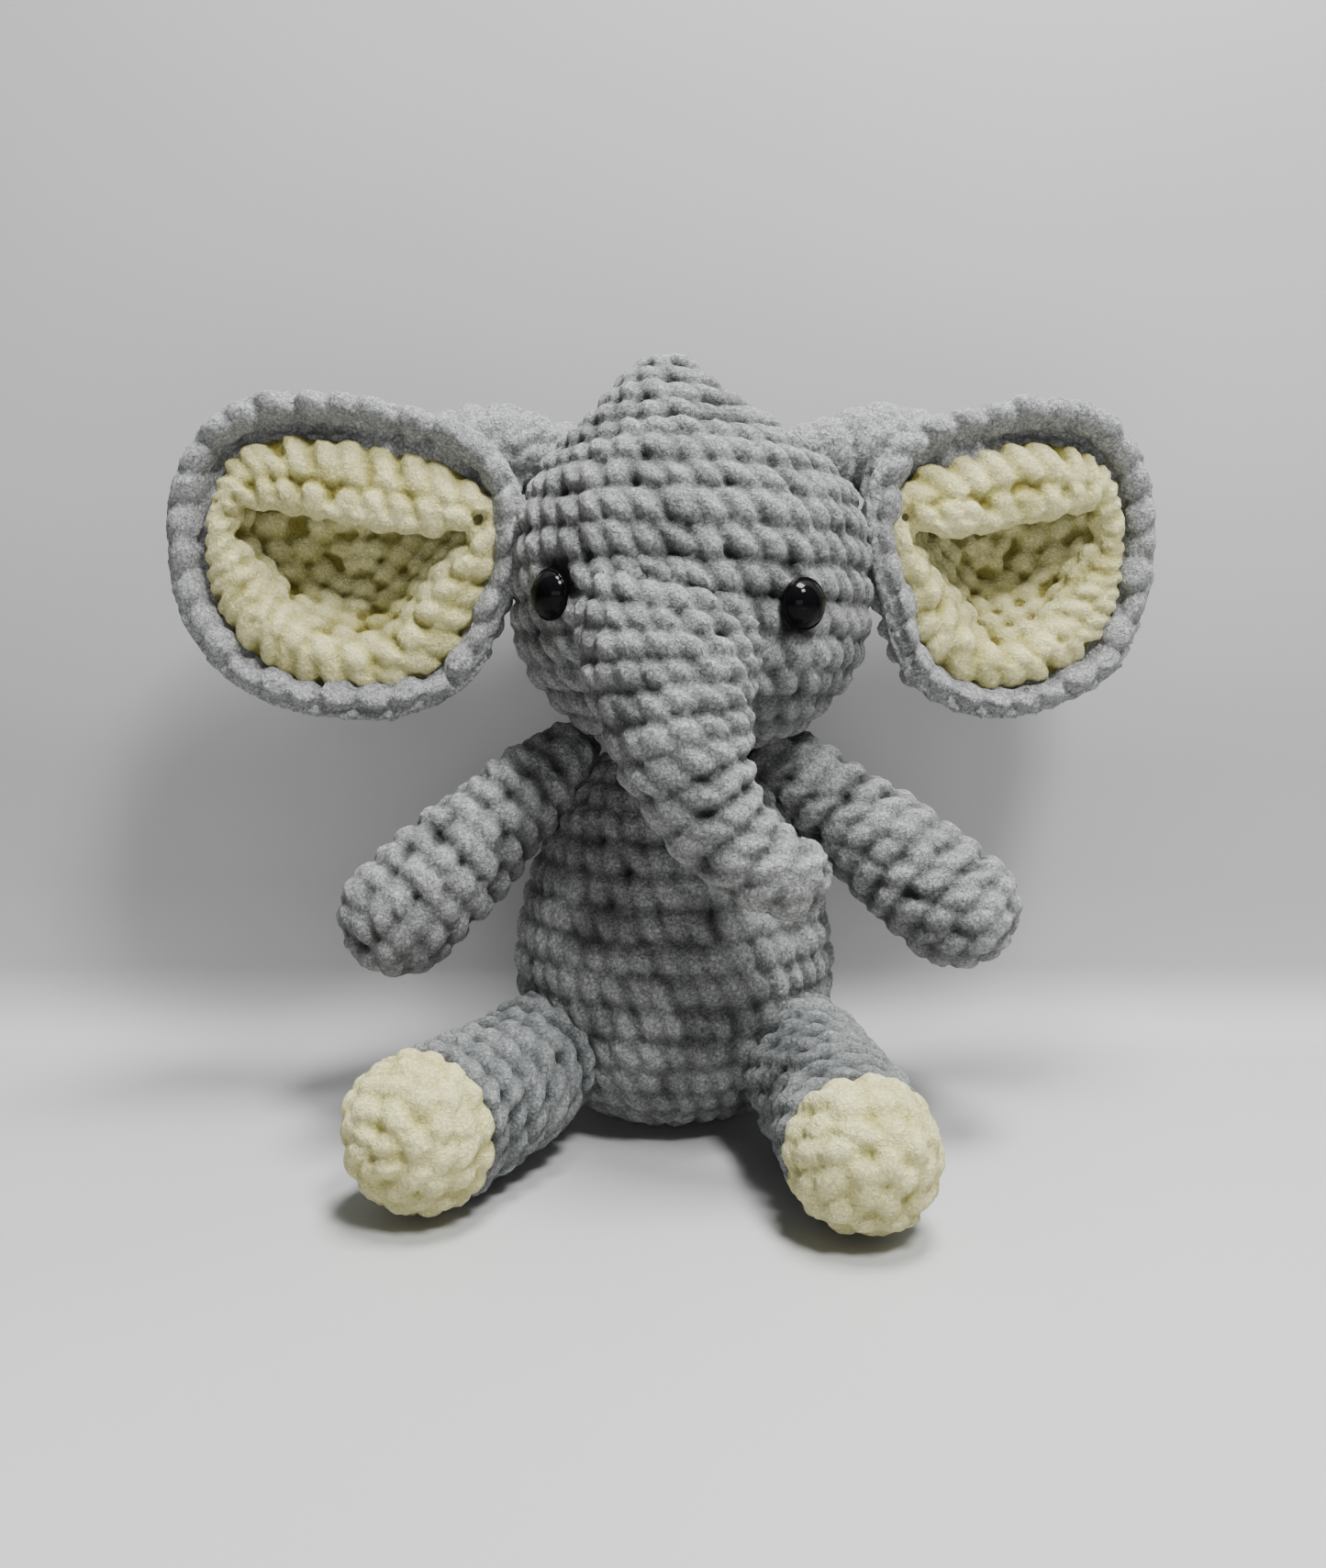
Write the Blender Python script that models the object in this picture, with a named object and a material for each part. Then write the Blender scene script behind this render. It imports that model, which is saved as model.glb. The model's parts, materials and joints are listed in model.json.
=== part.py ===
"""A crocheted stuffed elephant, sitting with its legs forward and its arms out.

Each crocheted piece is a hollow shell of fabric with its own filling. The head sits on a
stub of the body, and each limb ends in a ball centred on its joint, which lies in a socket
of the body, as a sewn-on limb presses its root into the filling. The toy faces -Y, and
"left" is towards -X. The sizes below are in millimetres; MM turns them into metres.
"""

import math

import bpy
from mathutils import Matrix, Vector

MM = 0.001
GAP = 0.35  # air between pieces that touch
BODY_WALL = 5.0  # thickness of the crocheted fabric
LIMB_WALL = 4.5
SOCKET_WALL = 3.0  # where the trunk presses into the head
SIDES = 20  # segments round the big pieces
YARN = 1.2  # radius of the sewing yarn
SEAM_STEPS = 20

# Body: radius and height from the flat seat up to the stub that carries the head.
BODY_OUTLINE = [(17.5, 0), (35, 12), (45, 31), (48.5, 54), (44.5, 75), (36, 92), (28, 103), (21, 106.5)]
NECK = Vector((0, 0, 109))
NECK_RADIUS = 14.0
NECK_MOUTH = 7.5
NECK_RING_RADIUS = 20.5
NECK_RING_HEIGHT = 109.7
NECK_YARN = 1.3
NECK_ROOM = 3.0  # the neck's mouth is cut this far past its end
FILLING_DROP = 6.0  # the filling stops this far below the neck's centre

# Head: radius and height, and the sideways lean of its crown.
HEAD_CENTRE = Vector((5, -2, 0))
HEAD_OUTLINE = [(20, 112.6), (36, 120), (49, 136.5), (54, 156), (53, 172), (49, 187), (42, 199),
                (29, 211), (14.5, 222.5)]
HEAD_BOTTOM = 111.5
HEAD_TOP = 229.5
CROWN_LEAN = -7.5
CROWN_LEAN_FROM = 184.0

# Trunk: a curve of centres with the radius at each.
TRUNK_PIVOT = Vector((-0.5, -50, 146))
TRUNK_LINE = [((-0.5, -50, 146), 23), ((1.5, -56, 133), 21.5), ((5, -61.5, 119.5), 19.5),
              ((11.5, -64.5, 106.5), 17.5), ((20, -65.5, 95), 16), ((29, -65.5, 86.5), 15)]
TRUNK_SWING_ROOM = 2.2  # hollow in the chin, so that the trunk can press back
TRUNK_MOUTH = 15.0  # radius of the hole in the face behind the trunk
TRUNK_ROOT_MOUTH = 9.0
MOUTH_REACH = 40.0

# Limbs: joint centre, centre of the rounded end, radii at the root, the middle and the end.
ARMS = {
    "left": (Vector((-42, -9, 102)), Vector((-79, -32, 68)), (12, 16, 17)),
    "right": (Vector((43, -9, 101.5)), Vector((82, -26, 69.5)), (12, 16.5, 18)),
}
LEGS = {
    "left": (Vector((-31.5, -42.5, 21)), Vector((-65, -78, 22.2)), (21, 21, 22)),
    "right": (Vector((24, -48, 21)), Vector((46, -90, 21.7)), (21, 21, 21.5)),
}
LIMB_MOUTH = 7.0
SEAM_SET_BACK = 3.2  # the sewing yarn lies this far behind the joint centre
SEAM_OUTSIDE = 1.75  # and this far outside the limb's root
ARM_SEAM_HALF = 85  # degrees of sewing yarn that shows, each way from the top of the limb
LEG_SEAM_HALF = 120
SOLE_DEPTH = 4.0  # the sole starts this far before the centre of the foot's round end

# Eyes: 14 mm safety eyes, dome and post in one, with a lock washer inside the head.
EYE_RADIUS = 7.0
EYE_DOME = 4.6
EYE_POST_RADIUS = 2.2
EYE_POST_END = -15.0
EYE_FLANGE = 1.0
EYE_SEAT = 1.0  # the eye's flange stands this far outside the head
EYE_HOLE = (3.0, -12.0)  # the hole for the post starts and ends at these distances
WASHER_ROOM_START = -4.0
EYE_HEIGHT = {"left": 159.0, "right": 156.5}
EYE_ROUND = {"left": -46.0, "right": 32.3}  # degrees round the head from the front
WASHER_RADIUS = 6.0
WASHER_HEIGHT = 2.0
WASHER_DEPTH = 8.6

# Ears: outline points (outwards, up) about the middle of the bowl, which opens forward.
EAR_OUTLINE = [(-49, 8), (-45, 27), (-26, 38), (3, 45), (30, 41), (48, 22), (51, -2), (41, -27),
               (15, -45), (-14, -45), (-38, -29), (-48, -9)]
EARS = {
    "left": (Vector((-99.5, -12, 170)), 0.0, Vector((-54, -8, 178))),
    "right": (Vector((105, -3, 170)), 14.0, Vector((61, -10, 178))),
}
EAR_WIDTH = {"left": 1.0, "right": 0.9}
EAR_DEPTH = 33.0
EAR_BACK_WALL = 4.7
EAR_LINING_WALL = 4.5
LINING_SET_BACK = 2.0
LINING_GAP = 0.9
EAR_SIDES = 24
EAR_LEVELS = (18, 36, 54, 72)  # degrees from the bowl's deepest point
EAR_SEAM_HALF = (3.0, 12.0)  # half the depth and half the height of the sewing line
EAR_SEAM_OUTSIDE = 1.2
EAR_YARN = 0.9

# Tail: a short cord with a tuft, on the back of the body.
TAIL_PIVOT = Vector((0, 50.5, 34))
TAIL_LINE = [((0, 50.5, 34), 4), ((0, 57, 30), 4), ((0, 61.5, 22), 4)]
TUFT_LINE = [((0, 62.5, 12), 5.5), ((0, 63, 8.5), 6)]

GREY = ("grey_yarn", (0.33, 0.34, 0.35), 0.95)
CREAM = ("cream_yarn", (0.83, 0.80, 0.62), 0.95)
FIBRE = ("filling", (0.90, 0.90, 0.88), 1.0)
BLACK = ("eye_plastic", (0.01, 0.01, 0.01), 0.12)
WASHER = ("washer_plastic", (0.80, 0.80, 0.78), 0.45)


def clear_scene():
    """Starts from an empty scene."""
    for obj in list(bpy.data.objects):
        bpy.data.objects.remove(obj, do_unlink=True)


def material(name, finish):
    """A Principled material of the piece's own colour and roughness."""
    _, colour, roughness = finish
    made = bpy.data.materials.new(f"{name}_{finish[0]}")
    made.use_nodes = True
    shader = made.node_tree.nodes["Principled BSDF"]
    shader.inputs["Base Color"].default_value = (*colour, 1)
    shader.inputs["Roughness"].default_value = roughness
    return made


def smooth(points, per_span=3):
    """Points on the smooth curve through the given tuples, which may hold any number of values."""
    vectors = [Vector(p) for p in points]
    ends = [2 * vectors[0] - vectors[1], *vectors, 2 * vectors[-1] - vectors[-2]]
    made = []
    for a, b, c, d in zip(ends, ends[1:], ends[2:], ends[3:]):
        for step in range(per_span):
            t = step / per_span
            made.append(0.5 * (2 * b + (c - a) * t + (2 * a - 5 * b + 4 * c - d) * t ** 2
                               + (3 * b - a - 3 * c + d) * t ** 3))
    return [*made, vectors[-1]]


def skin(rings, closed=False):
    """Vertices and faces over a list of rings. A ring of one point is a pole; closed joins last to first."""
    points, starts = [], []
    for ring in rings:
        starts.append(len(points))
        points += ring
    faces = []
    pairs = list(zip(range(len(rings)), range(1, len(rings))))
    if closed:
        pairs.append((len(rings) - 1, 0))
    for a, b in pairs:
        na, nb = len(rings[a]), len(rings[b])
        for i in range(max(na, nb)):
            j = i + 1
            low = [starts[a] + i % na, starts[a] + j % na]
            high = [starts[b] + j % nb, starts[b] + i % nb]
            faces.append(list(dict.fromkeys(low + high)))
    return points, faces


def build(name, shape, finish, origin=None, cutter=False):
    """An object from vertices and faces in millimetres, with its origin on the given point."""
    points, faces = shape
    origin = Vector(origin) if origin else Vector()
    mesh = bpy.data.meshes.new(name)
    mesh.from_pydata([(p - origin) * MM for p in points], [], faces)
    mesh.validate()
    volume = sum(mesh.vertices[f.vertices[0]].co.dot(f.normal) * f.area for f in mesh.polygons)
    if volume < 0:
        mesh.flip_normals()
    mesh.shade_smooth()
    mesh.set_sharp_from_angle(angle=math.radians(50))
    mesh.materials.append(material(name, finish))
    obj = bpy.data.objects.new(name, mesh)
    obj.location = origin * MM
    bpy.context.scene.collection.objects.link(obj)
    if cutter:
        obj.hide_render = True
        obj.display_type = "WIRE"
    return obj


def cut(obj, *cutters):
    """Takes each cutter away from the object."""
    for cutter in cutters:
        modifier = obj.modifiers.new(f"cut_{cutter.name}", "BOOLEAN")
        modifier.operation = "DIFFERENCE"
        modifier.object = cutter
    return obj


def axes_of(direction):
    """Two unit vectors across a direction."""
    along = Vector(direction).normalized()
    side = along.cross(Vector((0, 0, 1)))
    side = side.normalized() if side.length > 0.05 else Vector((1, 0, 0))
    return side, side.cross(along)


def ring_at(centre, direction, radius, sides):
    """Points on a circle across a direction."""
    side, up = axes_of(direction)
    turns = [2 * math.pi * i / sides for i in range(sides)]
    return [centre + radius * (math.cos(t) * side + math.sin(t) * up) for t in turns]


def turned(outline, start, direction, sides=SIDES, closed=False):
    """A turned shape: its outline holds (radius, distance along the axis), and radius 0 is a pole."""
    along = Vector(direction).normalized()
    rings = []
    for radius, distance in outline:
        centre = Vector(start) + along * distance
        rings.append([centre] if radius < 1e-6 else ring_at(centre, along, radius, sides))
    return skin(rings, closed)


def arc(radius, centre, first, last, steps):
    """Outline points on a circle about (0, centre): angles in degrees from the axis, in the given order."""
    turns = [math.radians(first + (last - first) * i / steps) for i in range(steps + 1)]
    return [(max(radius * math.sin(t), 0), centre + radius * math.cos(t)) for t in turns]


def balls(name, spheres, sides=12, steps=6):
    """A cutter of separate balls, each (centre, radius). The radius is that of the facets' middles."""
    points, faces = [], []
    outside = 1 / math.cos(math.pi / sides) / math.cos(math.pi / 2 / steps)
    for centre, radius in spheres:
        more, quads = turned(arc(radius * outside, 0, 180, 0, steps), centre, (0, 0, 1), sides)
        faces += [[len(points) + i for i in quad] for quad in quads]
        points += more
    return build(name, (points, faces), FIBRE, cutter=True)


def tube_along(line, offset, sides=16, per_span=2):
    """A tube round a smooth line of (centre, radius), grown by offset, with ball ends."""
    stations = smooth([(*centre, radius) for centre, radius in line], per_span)
    centres = [Vector(s[:3]) for s in stations]
    radii = [s[3] + offset for s in stations]
    first = (centres[1] - centres[0]).normalized()
    last = (centres[-1] - centres[-2]).normalized()
    turns = [math.radians(30), math.radians(60)]
    rings = [[centres[0] - first * radii[0]]]
    for t in turns:
        behind = first * radii[0] * math.cos(t)
        rings.append(ring_at(centres[0] - behind, first, radii[0] * math.sin(t), sides))
    for i, centre in enumerate(centres):
        ahead = centres[min(i + 1, len(centres) - 1)] - centres[max(i - 1, 0)]
        rings.append(ring_at(centre, ahead, radii[i], sides))
    for t in turns:
        beyond = last * radii[-1] * math.sin(t)
        rings.append(ring_at(centres[-1] + beyond, last, radii[-1] * math.cos(t), sides))
    rings.append([centres[-1] + last * radii[-1]])
    return skin(rings)


def body_outline(offset):
    """The body's outline moved inwards by offset, from the seat's middle to the top of the stub."""
    made = [(0, offset)]
    for radius, height in smooth(BODY_OUTLINE, 2):
        made.append((max(radius - offset, 1), max(height, offset)))
    stub = NECK_RADIUS - offset
    first = 90 if offset == 0 else 80
    made += arc(stub, NECK.z, first, math.degrees(math.asin(min(NECK_MOUTH / stub, 0.95))), 4)
    return [*made, (0, made[-1][1])]


def make_body():
    """Body shell with an open neck stub and sockets for the limbs, and its filling."""
    sockets = [(arm[0], arm[2][0]) for arm in ARMS.values()] + [(leg[0], leg[2][0]) for leg in LEGS.values()]
    socket = balls("cut_sockets", [(c, r + GAP) for c, r in sockets])
    wall = balls("cut_socket_walls", [(c, r + GAP + BODY_WALL) for c, r in sockets])
    room = balls("cut_filling_sockets", [(c, r + 2 * GAP + BODY_WALL) for c, r in sockets])
    up = (0, 0, 1)
    cavity_outline = body_outline(BODY_WALL)
    top = NECK.z + NECK_RADIUS + NECK_ROOM
    mouth_radius = cavity_outline[-2][0] - GAP
    mouth = [(mouth_radius, cavity_outline[-2][1]), (mouth_radius, top), (0, top)]
    cavity = build("cut_body_cavity", turned(cavity_outline[:-1] + mouth, (0, 0, 0), up), FIBRE, cutter=True)
    cut(cavity, wall)
    shell = build("body_shell", turned(body_outline(0), (0, 0, 0), up), GREY)
    cut(shell, cavity, socket)
    filling_outline = [p for p in body_outline(BODY_WALL + GAP) if p[1] < NECK.z - FILLING_DROP]
    filling_outline.append((0, filling_outline[-1][1]))
    filling = build("body_stuffing", turned(filling_outline, (0, 0, 0), up), FIBRE)
    cut(filling, room)
    centre = Vector((NECK.x, NECK.y, NECK_RING_HEIGHT))
    build("neck_seam", yarn_ring(centre, up, NECK_RING_RADIUS, NECK_YARN), GREY, origin=NECK)


def yarn_ring(centre, direction, radius, thickness, sides=20, around=6, half=180):
    """A ring of yarn across a direction, or an arc of it, half degrees each way from the top."""
    side, up = axes_of(direction)
    closed = half == 180
    rings = []
    for i in range(sides if closed else sides + 1):
        turn = math.radians(90 - half + 2 * half * i / sides)
        out = math.cos(turn) * side + math.sin(turn) * up
        along = -math.sin(turn) * side + math.cos(turn) * up
        rings.append(ring_at(Vector(centre) + out * radius, along, thickness, around))
    if not closed:
        ends = [sum(rings[k], Vector()) / around for k in (0, -1)]
        rings = [[ends[0]], *rings, [ends[1]]]
    return skin(rings, closed=closed)


def head_shape(offset):
    """The head's turned outer surface moved inwards by offset, with its crown leaning sideways."""
    outline = [(0, HEAD_BOTTOM + offset)]
    points = smooth([(6, HEAD_BOTTOM + 0.2), *HEAD_OUTLINE, (5, HEAD_TOP - 0.8)], 2)
    middle = HEAD_OUTLINE[3][1]
    for radius, height in points[1:]:
        inwards = offset * (height - middle) / (HEAD_TOP - middle)
        if height < middle:
            inwards = offset * (height - middle) / (middle - HEAD_BOTTOM)
        if radius > offset + 2:
            outline.append((radius - offset, height - inwards))
    outline.append((0, HEAD_TOP - offset))
    points, faces = turned(outline, HEAD_CENTRE, (0, 0, 1))
    for point in points:
        share = max(point.z - CROWN_LEAN_FROM, 0) / (HEAD_TOP - CROWN_LEAN_FROM)
        point.x += CROWN_LEAN * share * share * (3 - 2 * share)
    return points, faces


def head_radius(height):
    """The head's radius at a height."""
    for (r0, z0), (r1, z1) in zip(HEAD_OUTLINE, HEAD_OUTLINE[1:]):
        if z0 <= height <= z1:
            return r0 + (r1 - r0) * (height - z0) / (z1 - z0)
    return 0


def eye_place(side):
    """Where an eye's flange meets the head, and the direction it looks in."""
    turn = math.radians(EYE_ROUND[side])
    height = EYE_HEIGHT[side]
    out = Vector((math.sin(turn), -math.cos(turn), 0))
    place = HEAD_CENTRE + out * (head_radius(height) + EYE_SEAT + 2 * GAP)
    return Vector((place.x, place.y, height)), out


def make_head():
    """Head shell, open at the trunk and pierced for the eye posts, with its filling."""
    up = (0, 0, 1)
    trunk_ball, neck_ball = TRUNK_LINE[0][1] + GAP, NECK_RADIUS + GAP
    socket = balls("cut_head_sockets", [(TRUNK_PIVOT, trunk_ball), (NECK, neck_ball)])
    wall = balls("cut_head_socket_walls",
                 [(TRUNK_PIVOT, trunk_ball + SOCKET_WALL), (NECK, neck_ball + BODY_WALL)], 16, 8)
    room = balls("cut_head_filling_sockets",
                 [(TRUNK_PIVOT, trunk_ball + SOCKET_WALL + GAP), (NECK, neck_ball + BODY_WALL + GAP)], 16, 8)
    chin = build("cut_chin", tube_along(TRUNK_LINE, TRUNK_SWING_ROOM), FIBRE, cutter=True)
    chin_wall = build("cut_chin_wall", tube_along(TRUNK_LINE, TRUNK_SWING_ROOM + SOCKET_WALL), FIBRE,
                      cutter=True)
    chin_room = build("cut_chin_room", tube_along(TRUNK_LINE, TRUNK_SWING_ROOM + SOCKET_WALL + GAP), FIBRE,
                      cutter=True)
    inwards = Vector((0.1, 1, 0.15)).normalized()
    mouth_outline = [(0, 0), (TRUNK_MOUTH, 0), (TRUNK_MOUTH, MOUTH_REACH), (0, MOUTH_REACH)]
    mouth = build("cut_trunk_mouth", turned(mouth_outline, TRUNK_PIVOT, inwards), FIBRE, cutter=True)
    cavity = build("cut_head_cavity", head_shape(BODY_WALL), FIBRE, cutter=True)
    cut(cavity, wall, chin_wall)
    shell = build("head_shell", head_shape(0), GREY, origin=NECK)
    cut(shell, cavity, socket, chin, mouth)
    filling = build("head_stuffing", head_shape(BODY_WALL + GAP), FIBRE, origin=NECK)
    cut(filling, room, chin_room)
    for side in ("left", "right"):
        place, out = eye_place(side)
        (start, end), hole, room_end = EYE_HOLE, EYE_POST_RADIUS + GAP, EYE_POST_END - 3 * GAP
        post = [(0, start), (hole, start), (hole, end), (0, end)]
        pocket = [(0, WASHER_ROOM_START), (WASHER_RADIUS + 3 * GAP, WASHER_ROOM_START),
                  (WASHER_RADIUS + 3 * GAP, room_end), (0, room_end)]
        cut(shell, build(f"cut_post_{side}", turned(post, place, out, 12), FIBRE, cutter=True))
        cut(filling, build(f"cut_pocket_{side}", turned(pocket, place, out, 16), FIBRE, cutter=True))


def make_eyes():
    """Domed eyes with their posts, and the washers that lock them inside the head."""
    for side in ("left", "right"):
        place, out = eye_place(side)
        dome = [(0, EYE_DOME)]
        for turn in (22, 45, 67, 90):
            t = math.radians(turn)
            dome.append((EYE_RADIUS * math.sin(t), EYE_DOME * math.cos(t)))
        dome += [(EYE_RADIUS - GAP, -EYE_FLANGE), (EYE_POST_RADIUS, -EYE_FLANGE),
                 (EYE_POST_RADIUS, EYE_POST_END), (0, EYE_POST_END)]
        build(f"eye_{side}", turned(dome, place, out, 16), BLACK, origin=place)
        inner, front = EYE_POST_RADIUS + GAP, -WASHER_DEPTH
        back = front - WASHER_HEIGHT
        washer = [(inner, front), (WASHER_RADIUS, front), (WASHER_RADIUS, back), (inner, back)]
        build(f"eye_washer_{side}", turned(washer, place, out, 16, closed=True), WASHER, origin=place)


def make_trunk():
    """Trunk shell, open at its root, with its filling."""
    first = (Vector(TRUNK_LINE[1][0]) - Vector(TRUNK_LINE[0][0])).normalized()
    cavity = build("cut_trunk_cavity", tube_along(TRUNK_LINE, -LIMB_WALL), FIBRE, cutter=True)
    mouth_outline = [(0, 0), (TRUNK_ROOT_MOUTH, 0), (TRUNK_ROOT_MOUTH, MOUTH_REACH), (0, MOUTH_REACH)]
    mouth = build("cut_trunk_root", turned(mouth_outline, TRUNK_PIVOT, -first, 16), FIBRE, cutter=True)
    cut(build("trunk_shell", tube_along(TRUNK_LINE, 0), GREY, origin=TRUNK_PIVOT), cavity, mouth)
    build("trunk_stuffing", tube_along(TRUNK_LINE, -LIMB_WALL - 3 * GAP, sides=12), FIBRE,
          origin=TRUNK_PIVOT)


def limb_outline(length, radii, offset):
    """A limb's outline from its root ball to its round end, moved inwards by offset."""
    root, middle, end = radii
    side = smooth([(root, 0), (middle, length * 0.5), (end, length)], 2)
    made = arc(root - offset, 0, 180, 90, 4)[:-1] + [(r - offset, s) for r, s in side]
    made += arc(end - offset, length, 90, 0, 4)[1:]
    return made


def shell_outline(outer, inner, mouth):
    """The outline of a hollow limb: down the outside from the tip to the mouth, and back up inside."""
    outside = [p for p in outer if p[0] > mouth or p[1] > 0]
    inside = [p for p in inner if p[0] > mouth or p[1] > 0]
    root, core = outer[0][1], inner[0][1]
    return outside[::-1] + [(mouth, -math.sqrt(root * root - mouth * mouth))] + [
        (mouth, -math.sqrt(core * core - mouth * mouth))] + inside


def make_arms():
    """Arm shells, closed at the hand and open at the shoulder, with filling and sewing yarn."""
    for side, (joint, end, radii) in ARMS.items():
        along, length = (end - joint).normalized(), (end - joint).length
        outer, inner = limb_outline(length, radii, 0), limb_outline(length, radii, LIMB_WALL)
        build(f"arm_shell_{side}", turned(shell_outline(outer, inner, LIMB_MOUTH), joint, along, 16), GREY,
              origin=joint)
        build(f"arm_stuffing_{side}", turned(limb_outline(length, radii, LIMB_WALL + GAP), joint, along, 12),
              FIBRE, origin=joint)
        centre = joint - along * SEAM_SET_BACK
        ring = yarn_ring(centre, along, radii[0] + SEAM_OUTSIDE, YARN, 12, 6, half=ARM_SEAM_HALF)
        build(f"arm_seam_{side}", ring, GREY)


def make_legs():
    """Leg tubes with separate cream soles, filling and sewing yarn."""
    for side, (joint, end, radii) in LEGS.items():
        along, length = (end - joint).normalized(), (end - joint).length
        outer, inner = limb_outline(length, radii, 0), limb_outline(length, radii, LIMB_WALL)
        edge = length - SOLE_DEPTH
        outside = [p for p in outer if p[1] < edge - 1] + [(radii[2], edge)]
        inside = [p for p in inner if p[1] < edge - 1] + [(radii[2] - LIMB_WALL, edge)]
        tube = shell_outline(outside, inside, LIMB_MOUTH)
        build(f"leg_shell_{side}", turned(tube, joint, along, 16, closed=True), GREY, origin=joint)
        start = edge + GAP
        cap = [(radii[2], start)] + [p for p in outer if p[1] > start + 1]
        lining = [(radii[2] - LIMB_WALL, start)] + [p for p in inner if p[1] > start + 1]
        build(f"foot_cap_{side}", turned(cap[::-1] + lining, joint, along, 16), CREAM, origin=joint)
        build(f"leg_stuffing_{side}", turned(limb_outline(length, radii, LIMB_WALL + GAP), joint, along, 12),
              FIBRE, origin=joint)
        centre = joint - along * SEAM_SET_BACK
        ring = yarn_ring(centre, along, radii[0] + SEAM_OUTSIDE, YARN, 16, 6, half=LEG_SEAM_HALF)
        build(f"leg_seam_{side}", ring, GREY)


def ear_radius(turn):
    """Distance from the bowl's middle to its edge at an angle, from the outline points."""
    angles = [math.atan2(w, u) % (2 * math.pi) for u, w in EAR_OUTLINE]
    order = sorted(range(len(angles)), key=lambda i: angles[i])
    around = [(angles[i], math.hypot(*EAR_OUTLINE[i])) for i in order]
    full = 2 * math.pi
    around = [(a - full, r) for a, r in around] + around + [(a + full, r) for a, r in around]
    turn %= full
    for (a0, r0), (a1, r1) in zip(around, around[1:]):
        if a0 <= turn <= a1:
            share = (turn - a0) / (a1 - a0)
            share = share * share * (3 - 2 * share)
            return r0 + (r1 - r0) * share
    return around[0][1]


def ear_bowl(side, inwards, depth_cut, rim_back):
    """Rings of one bowl surface from its deepest point to its edge."""
    middle, yaw, _ = EARS[side]
    hand = -1 if side == "left" else 1
    turn = Matrix.Rotation(math.radians(yaw), 3, "Z")
    out, back = turn @ Vector((hand, 0, 0)), turn @ Vector((0, 1, 0))
    depth = EAR_DEPTH - depth_cut
    rings = [[middle + back * depth]]
    rim_angle = math.degrees(math.asin(rim_back / depth)) if rim_back else 0
    for level in (*EAR_LEVELS, 90 - rim_angle):
        t = math.radians(level)
        ring = []
        for i in range(EAR_SIDES):
            a = 2 * math.pi * i / EAR_SIDES
            r = (ear_radius(a) - inwards) * math.sin(t)
            across = out * (r * math.cos(a) * EAR_WIDTH[side])
            ring.append(middle + across + Vector((0, 0, r * math.sin(a))) + back * (depth * math.cos(t)))
        rings.append(ring)
    return rings


def ear_seam_line(side):
    """Points of the sewing yarn where an ear's root meets the head."""
    hand = -1 if side == "left" else 1
    hinge = EARS[side][2]
    half_depth, half_height = EAR_SEAM_HALF
    made = []
    for i in range(SEAM_STEPS):
        t = 2 * math.pi * i / SEAM_STEPS
        y, z = hinge.y + half_depth * math.cos(t), hinge.z + half_height * math.sin(t)
        share = max(z - CROWN_LEAN_FROM, 0) / (HEAD_TOP - CROWN_LEAN_FROM)
        lean = CROWN_LEAN * share * share * (3 - 2 * share)
        across = math.sqrt(head_radius(z) ** 2 - (y - HEAD_CENTRE.y) ** 2)
        made.append(Vector((HEAD_CENTRE.x + lean + hand * (across + EAR_YARN + EAR_SEAM_OUTSIDE), y, z)))
    return made


def make_ears():
    """Ear bowls: a grey back, a cream lining inside it, and the yarn that sews it to the head."""
    for side, (_, _, hinge) in EARS.items():
        outer = ear_bowl(side, 0, 0, 0)
        inner = ear_bowl(side, EAR_BACK_WALL, EAR_BACK_WALL, 0)
        build(f"ear_back_{side}", skin(outer + inner[::-1]), GREY, origin=hinge)
        start = EAR_BACK_WALL + LINING_GAP
        outer = ear_bowl(side, start, start, LINING_SET_BACK)
        start += EAR_LINING_WALL
        inner = ear_bowl(side, start, start, LINING_SET_BACK)
        build(f"ear_lining_{side}", skin(outer + inner[::-1]), CREAM, origin=hinge)
        line = ear_seam_line(side)
        rings = []
        for i, p in enumerate(line):
            rings.append(ring_at(p, line[(i + 1) % len(line)] - line[i - 1], EAR_YARN, 6))
        build(f"ear_seam_{side}", skin(rings, closed=True), GREY, origin=hinge)


def make_tail():
    """A short tail cord that ends in a tuft."""
    build("tail_cord", tube_along(TAIL_LINE, 0, sides=10), GREY, origin=TAIL_PIVOT)
    build("tail_tuft", tube_along(TUFT_LINE, 0, sides=10, per_span=1), GREY, origin=TAIL_PIVOT)


clear_scene()
make_body()
make_head()
make_eyes()
make_trunk()
make_ears()
make_arms()
make_legs()
make_tail()
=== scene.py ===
"""The looks of the crocheted elephant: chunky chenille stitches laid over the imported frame."""

import json
import math

import bmesh
import bpy
import numpy as np
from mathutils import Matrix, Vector
from mathutils.bvhtree import BVHTree


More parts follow.
